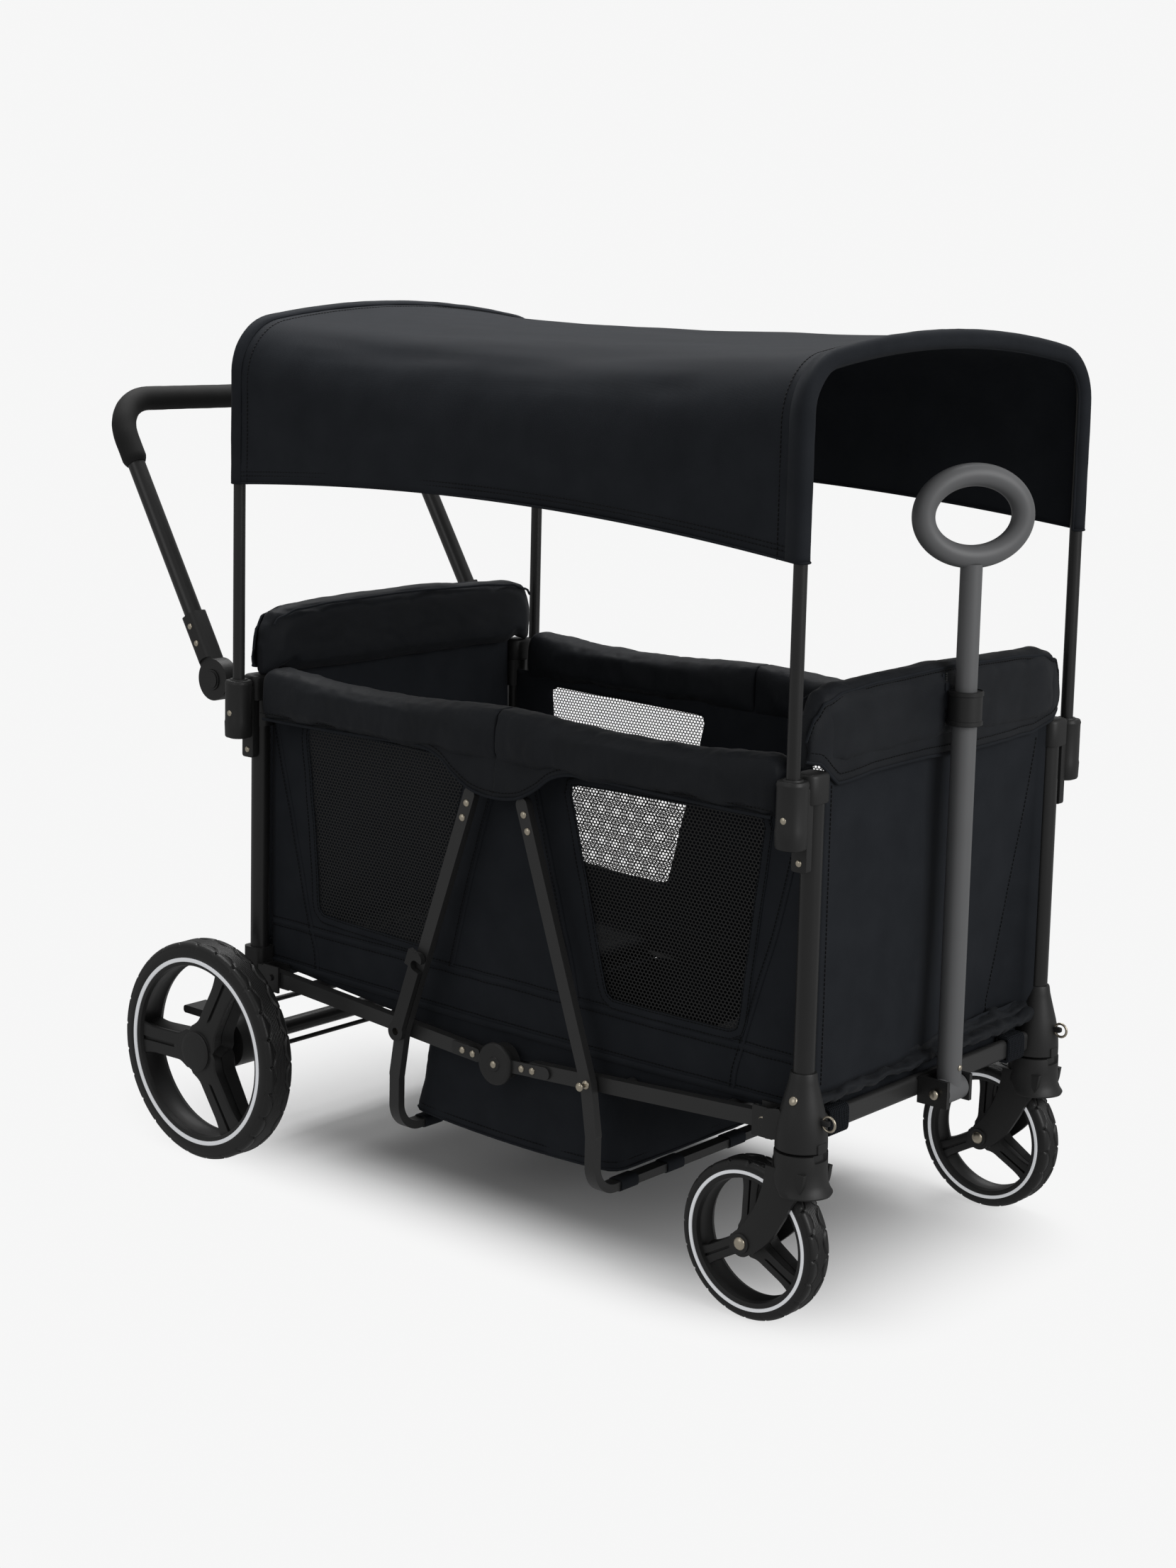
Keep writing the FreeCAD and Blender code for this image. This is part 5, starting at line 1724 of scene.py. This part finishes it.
@dataclass(frozen=True)
class FrameDetails:
    """Rivets, caps, brackets and tab plates on the steel frame."""

    def rail_spot(self, s: float) -> tuple[float, float]:
        """(y, z) of a point on the lower rail's centre line, s from its pivot."""
        run, drop = RAIL_RUN
        reach = math.hypot(run, drop)
        return RAIL_PIVOT[0] + s * run / reach, RAIL_PIVOT[1] - s * drop / reach

    def build(self) -> None:
        """Makes every small part, one piece for each body and finish."""
        reach = math.hypot(*RAIL_RUN)
        for end in End:
            rail_heads, arm_heads = [], []
            for sign in SIDES:
                way = sideways(sign)
                for back in (40.0, 57.0):
                    y, z = self.rail_spot(reach - back)
                    face = 256.2 if end is End.FRONT else 254.6
                    rail_heads.append((DATUM.near(end, sign * face, y, z), way))
                for share in (0.965, 0.905):
                    y, z = (low + (high - low) * share for low, high in zip(ARM_BOLT, ARM_TOP))
                    arm_heads.append((DATUM.near(end, sign * 267.0, y, z), way))
            hang(heads(f"{end}_rail_rivets", rail_heads, 4.4, 2.4), f"{end}_rails")
            hang(heads(f"{end}_arm_rivets", arm_heads, 4.6, 2.4), f"{end}_arms")
            screws = []
            for sign in SIDES:
                screws.append((DATUM.near(end, sign * 293.2, 0, 572), sideways(sign)))
                screws.append((DATUM.near(end, sign * 263.2, 0, 522), sideways(sign)))
                screws.append((DATUM.near(end, sign * 257.6, 40, 230), sideways(sign)))
            hang(heads(f"{end}_socket_screws", screws, 4.0, 1.8), f"{end}_frame")
            self.rod_sockets(end)
        self.rail_plates(reach)
        self.arm_bolts()
        self.hinge_caps()
        self.handle_screws()
        self.straps()

    def rod_sockets(self, end: End) -> None:
        """Moulded sleeve for each canopy rod with its end ribs, channel and post cap."""
        shape = Shape()
        for sign in SIDES:
            sleeve = rounded([(262.4, -16), (293.8, -16), (293.8, 16), (262.4, 16)], 15)
            levels = ((540, -1.2), (542, 0.0), (560, 0.6), (563, 0.0), (606, 0.0), (609, 0.6), (613, -1.0))
            shape.grid(self.stepped(end, sign, sleeve, levels, ROD_X, (16, 17)), wrap_row=True, caps=True)
            cap = rounded([(225, -14.6), (262.6, -14.6), (262.6, 14.6), (225, 14.6)], 13)
            levels = ((585, -0.6), (587, 0.0), (613, 0.0), (616, -1.0), (617.5, -3.0))
            shape.grid(self.stepped(end, sign, cap, levels, 244, (18, 15)), wrap_row=True, caps=True)
            channel = rounded([(-10, 512), (10, 512), (10, 604), (-10, 604)], 4)
            face = [DATUM.near(end, sign * 253.4, y, z) for y, z in channel]
            shape.plate(face, Vector((sign * 9.8 * MM, 0, 0)))
        piece = shape.build(f"{end}_rod_sleeves", PLASTIC, bevel=0.8, sharp=45)
        hang(piece, f"{end}_frame", [f"{end}_rod_sockets"])
        caps = Shape()
        for sign in SIDES:
            for z in (539.0, 612.6):
                caps.lathe([(z, 7.8), (z, 11.5), (z + 2.0, 10.5), (z + 2.0, 7.8)],
                           DATUM.near(end, sign * ROD_X, 0, 0), axis="Z", steps=36)
        hang(caps.build(f"{end}_rod_collars", PLASTIC), f"{end}_frame")

    @staticmethod
    def stepped(end: End, sign: int, outline: Outline, levels: Outline, middle_x: float,
                halves: Point2) -> list[list[Vector]]:
        """Rings of an upright moulding that swells and narrows as it rises.

        Args:
            end: the end of the wagon it is on.
            sign: the side it is on.
            outline: its plan as (x, y) on the left side.
            levels: (height, how far it stands out beyond the plan) of each ring.
            middle_x: x of the plan's middle.
            halves: half the plan's size across and along.

        Returns:
            One ring of points for each level.
        """
        rings = []
        for z, out in levels:
            wide, deep = 1 + out / halves[0], 1 + out / halves[1]
            ring = [(sign * (middle_x + (x - middle_x) * wide), y * deep) for x, y in outline]
            rings.append([DATUM.near(end, x, y, z) for x, y in ring])
        return rings

    def rail_plates(self, reach: float) -> None:
        """Flat plates that join the rear rails' ends to their hinge tongues."""
        shape = Shape()
        for sign in SIDES:
            ends = [self.rail_spot(reach - back) for back in (29.0, 74.0)]
            (ya, za), (yb, zb) = ends
            outline = rounded([(ya, za - 8.2), (ya, za + 8.2), (yb, zb + 8.2), (yb, zb - 8.2)], 5)
            face = [DATUM.near(End.REAR, sign * 253.05, y, z) for y, z in outline]
            shape.plate(face, Vector((sign * 1.4 * MM, 0, 0)))
        hang(shape.build("rear_rail_plates", STEEL, bevel=0.4), "rear_rails")

    def arm_bolts(self) -> None:
        """Bolts where the frames cross the lower rails, with the latch's stud on the front right one."""
        for end in End:
            places = [(DATUM.near(end, sign * 267.2, *ARM_BOLT), sideways(sign)) for sign in SIDES]
            if end is End.FRONT:
                places.append((DATUM.near(end, -278.0, *ARM_BOLT), Vector((-1, 0, 0))))
                stem = Shape().lathe([(-267, 0.01), (-267, 2.6), (-278, 2.6), (-278, 0.01)],
                                     DATUM.near(end, 0, *ARM_BOLT), steps=20)
                hang(stem.build("latch_stud_stem", ZINC), "front_arms")
            bolts = heads(f"{end}_cross_bolts", places, 5.4, 2.8)
            hang(bolts, f"{end}_arms", [f"{end}_arm_bolts"])

    def hinge_caps(self) -> None:
        """Stepped discs over the centre hinges with a rivet in each."""
        shape, places = Shape(), []
        for sign in SIDES:
            centre = DATUM.at(0, MID, HINGE_Z)
            profile = [(sign * 256.1, 0.01), (sign * 256.1, 25.6), (sign * 259.4, 25.2), (sign * 260.6, 23.6),
                       (sign * 260.2, 20.0), (sign * 260.2, 9.0), (sign * 261.4, 8.2), (sign * 261.4, 0.01)]
            shape.lathe(profile, centre, steps=64)
            places.append((DATUM.at(sign * 261.4, MID, HINGE_Z), sideways(sign)))
        hang(shape.build("hinge_caps", PLASTIC, sharp=50), "front_rails")
        hang(heads("hinge_rivets", places, 4.6, 2.2), "front_rails")

    def handle_screws(self) -> None:
        """Screws on both handles, and the collar rings on the pull tube."""
        places = []
        for sign in SIDES:
            for s in (52.0, 76.0):
                places.append((up_handle(sign * 269.8, s), sideways(sign)))
        hang(heads("push_handle_rivets", places, 4.0, 2.0), "push_handle")
        spots = [(DATUM.at(0, PULL_Y - 14.2, 250), Vector((0, -1, 0)))]
        hang(heads("pull_tube_screw", spots, 3.6, 1.8), "pull_handle")
        ends = [(DATUM.at(sign * 30.2, PULL_Y, 222), sideways(sign)) for sign in SIDES]
        hang(heads("pull_clevis_bolt", ends, 6.0, 3.2), "front_frame")
        ring = Shape()
        for z in (643.0, 676.0):
            bead = [(z, 18.6), (z + 1, 20.2), (z + 5, 20.2), (z + 6, 18.6)]
            ring.lathe(bead, DATUM.at(0, PULL_Y, 0), axis="Z", steps=56)
        hang(ring.build("pull_collar_beads", PLASTIC), "pull_handle")

    def straps(self) -> None:
        """Ribs round the hook-and-loop straps on the crossbar."""
        paths = []
        for sign in SIDES:
            for k in range(11):
                x = sign * (167 + 3.1 * k)
                loop = [DATUM.at(x, a, 225 + b) for a, b in pillow(19.2, 31.2, 0.45, 24)]
                paths.append(loop + loop[:1])
        hang(row("crossbar_strap_ribs", paths, CLOTH, 2.5, 2.7, 1.0), "front_frame")


@dataclass(frozen=True)
class PushGrip:
    """Foam sleeve round the top of the push handle."""

    start: float = 312.0
    radius: float = 16.0
    bend: float = 60.0
    bend_x: float = 196.0
    bend_s: float = 348.0
    round_off: float = 0.006

    def build(self) -> None:
        """Makes the foam with rounded ends and faint creases all along it."""
        left, right = ((x, self.bend_s) for x in (-self.bend_x, self.bend_x))
        flat = [(left[0] - self.bend, self.start)] + arc(left, self.bend, 180, 90, 14)
        flat += arc(right, self.bend, 90, 0, 14) + [(right[0] + self.bend, self.start)]
        path = spaced([up_handle(x, s) for x, s in flat], 170)
        total = sum((a - b).length for a, b in zip(path, path[1:]))
        face = Vector((0, -math.cos(PUSH_LEAN), math.sin(PUSH_LEAN)))

        def fat(share: float) -> float:
            """Size of the foam along it: it narrows over its last few millimetres."""
            return min(1.0, 0.80 + 0.2 * min(share, 1 - share) * total / self.round_off)

        shape = Shape().sweep(path, circle(self.radius, 32), face, scale=fat)
        piece = shape.build("push_handle_foam", FOAM)
        crumple(piece, 0.02, 0.0003)
        hang(piece, "push_handle", ["push_grip"])


class CadParts:
    """Gives every CAD node that stays in view its finish."""

    finishes = {"steel_black": STEEL, "tube_dark": TUBE, "plastic_charcoal": PLASTIC, "fabric_black": CLOTH,
                "foam_black": FOAM, "tyre_black": RUBBER, "zinc": ZINC}

    def dress(self) -> None:
        """Sets each node's material from its slot in the record."""
        for part in frame["record"]["subparts"]:
            node = frame["nodes"][part["node"]]
            pull = part["node"].startswith(("pull_tube", "pull_upper", "pull_grip"))
            finish = HANDLE if pull else self.finishes[part["material_slot"]]
            node.data.materials.clear()
            node.data.materials.append(finish.material())
        LOG.info("%d CAD nodes dressed", len(frame["nodes"]))


# ---- studio ----
@dataclass(frozen=True)
class Studio:
    """Plain pale floor, soft lights and the camera."""

    azimuth: float = -49.354
    elevation: float = 7.974
    roll: float = 1.354
    focal: float = 3596.0
    eye: tuple[float, float, float] = (-2400.0, -1535.0, 1135.0)
    shift: float = -0.10
    image: tuple[int, int] = (1659, 2212)
    backdrop: float = 0.925
    ambient: float = 0.32

    def build(self) -> None:
        """Makes floor, world, lamps and camera."""
        self.floor()
        self.world()
        self.lamp("key", (0.7, 0.9, 3.6), 2.6, 108.0)
        self.lamp("front_fill", (0.2, -4.0, 2.2), 2.4, 62.0)
        self.lamp("side_fill", (-4.2, 0.6, 2.4), 2.2, 12.0)
        self.camera()

    def floor(self) -> None:
        """A wide floor that fades to the plain background away from the wagon."""
        shape = Shape()
        shape.points = [Vector((x, y, -0.0004)) for x, y in ((-40, -40), (40, -40), (40, 40), (-40, 40))]
        shape.faces = [(0, 1, 2, 3)]
        floor = shape.build("studio_floor", RING, closed=False)
        made = bpy.data.materials.new("studio_paper")
        made.use_nodes = True
        tree = made.node_tree
        tree.nodes.clear()
        node, link = tree.nodes.new, tree.links.new
        out = node("ShaderNodeOutputMaterial")
        paper = node("ShaderNodeBsdfDiffuse")
        paper.inputs["Color"].default_value = (0.86, 0.86, 0.86, 1)
        glow = node("ShaderNodeEmission")
        glow.inputs["Color"].default_value = (self.backdrop,) * 3 + (1,)
        link(self.seen(tree), glow.inputs["Strength"])
        place = node("ShaderNodeTexCoord")
        split = node("ShaderNodeSeparateXYZ")
        link(place.outputs["Object"], split.inputs[0])
        spans = []
        for axis, (near, run) in enumerate(((0.13, 0.20), (0.34, 0.30))):
            past = maths(tree, "SUBTRACT", maths(tree, "ABSOLUTE", split.outputs[axis]), near)
            share = maths(tree, "DIVIDE", maths(tree, "MAXIMUM", past, 0.0), run)
            spans.append(maths(tree, "POWER", share, 2.0))
        fade = node("ShaderNodeMapRange")
        fade.interpolation_type = "SMOOTHSTEP"
        fade.inputs["From Min"].default_value, fade.inputs["From Max"].default_value = 0.0, 1.15
        far = maths(tree, "SQRT", maths(tree, "ADD", *spans))
        mix = node("ShaderNodeMixShader")
        link(far, fade.inputs["Value"])
        link(fade.outputs["Result"], mix.inputs[0])
        link(paper.outputs[0], mix.inputs[1])
        link(glow.outputs[0], mix.inputs[2])
        link(mix.outputs[0], out.inputs["Surface"])
        floor.data.materials[0] = made

    def world(self) -> None:
        """Even pale surroundings."""
        world = bpy.data.worlds.new("studio")
        bpy.context.scene.world = world
        world.use_nodes = True
        back = world.node_tree.nodes["Background"]
        back.inputs["Color"].default_value = (self.backdrop,) * 3 + (1,)
        world.node_tree.links.new(self.seen(world.node_tree), back.inputs["Strength"])
        bpy.context.scene.view_settings.view_transform = "Standard"

    def seen(self, tree: Tree) -> Socket:
        """Strength of the plain background: full to the camera, lower as a light on the wagon."""
        rays = tree.nodes.new("ShaderNodeLightPath")
        return maths(tree, "MULTIPLY_ADD", rays.outputs["Is Camera Ray"], 1 - self.ambient, self.ambient)

    def lamp(self, name: str, place: tuple[float, float, float], size: float, power: float) -> None:
        """One square soft lamp aimed at the wagon."""
        light = bpy.data.lights.new(name, "AREA")
        light.size, light.energy = size, power
        lamp = placed(name, light)
        lamp.location = place
        lamp.rotation_euler = (Vector((0, 0, 0.5)) - Vector(place)).to_track_quat("-Z", "Y").to_euler()

    def camera(self) -> None:
        """Camera at the viewing angle, its focal length given in image units."""
        az, el, roll = (math.radians(a) for a in (self.azimuth, self.elevation, self.roll))
        back = Vector((math.sin(az) * math.cos(el), -math.cos(az) * math.cos(el), math.sin(el)))
        right = (-back).cross(Vector((0, 0, 1))).normalized()
        up = right.cross(-back)
        right, up = right * math.cos(roll) + up * math.sin(roll), up * math.cos(roll) - right * math.sin(roll)
        data = bpy.data.cameras.new("camera")
        data.lens = self.focal / max(self.image) * data.sensor_width
        data.shift_y = self.shift
        camera = placed("camera", data)
        turn = Matrix((right, up, back)).transposed().to_4x4()
        camera.matrix_world = Matrix.Translation(DATUM.at(*self.eye)) @ turn
        bpy.context.scene.camera = camera


def wheels() -> list[Wheel]:
    """The four wheels, set out from the frame's tyres."""
    made = []
    for side in Side:
        tag = side.name.lower()
        front, rear = middle(f"front_tyre_{tag}"), middle(f"rear_tyre_{tag}")
        made.append(Wheel(f"front_{tag}", f"front_wheel_{tag}", front, 90, 36, 76, 16, 0.0, 20, 3.6))
        made.append(Wheel(f"rear_{tag}", f"rear_wheel_{tag}", rear, 140, 42, 117, 25, 93.0, 25, 5.0))
    return made


def main() -> None:
    """Builds every sub-assembly in order, then the studio."""
    logging.basicConfig(level=logging.INFO, format="%(message)s")
    CadParts().dress()
    assemblies = [Canopy(), SideWall(Side.RIGHT), SideWall(Side.LEFT), Rims(), EndWall(End.FRONT),
                  EndWall(End.REAR), Seats(), Footwell(), *wheels(), HubCap(Side.RIGHT), HubCap(Side.LEFT),
                  Caster(Side.RIGHT), Caster(Side.LEFT), FrameDetails(), PushGrip(), Studio()]
    for assembly in assemblies:
        assembly.build()
        LOG.info("built %s", type(assembly).__name__)


if __name__ == "__main__":
    main()
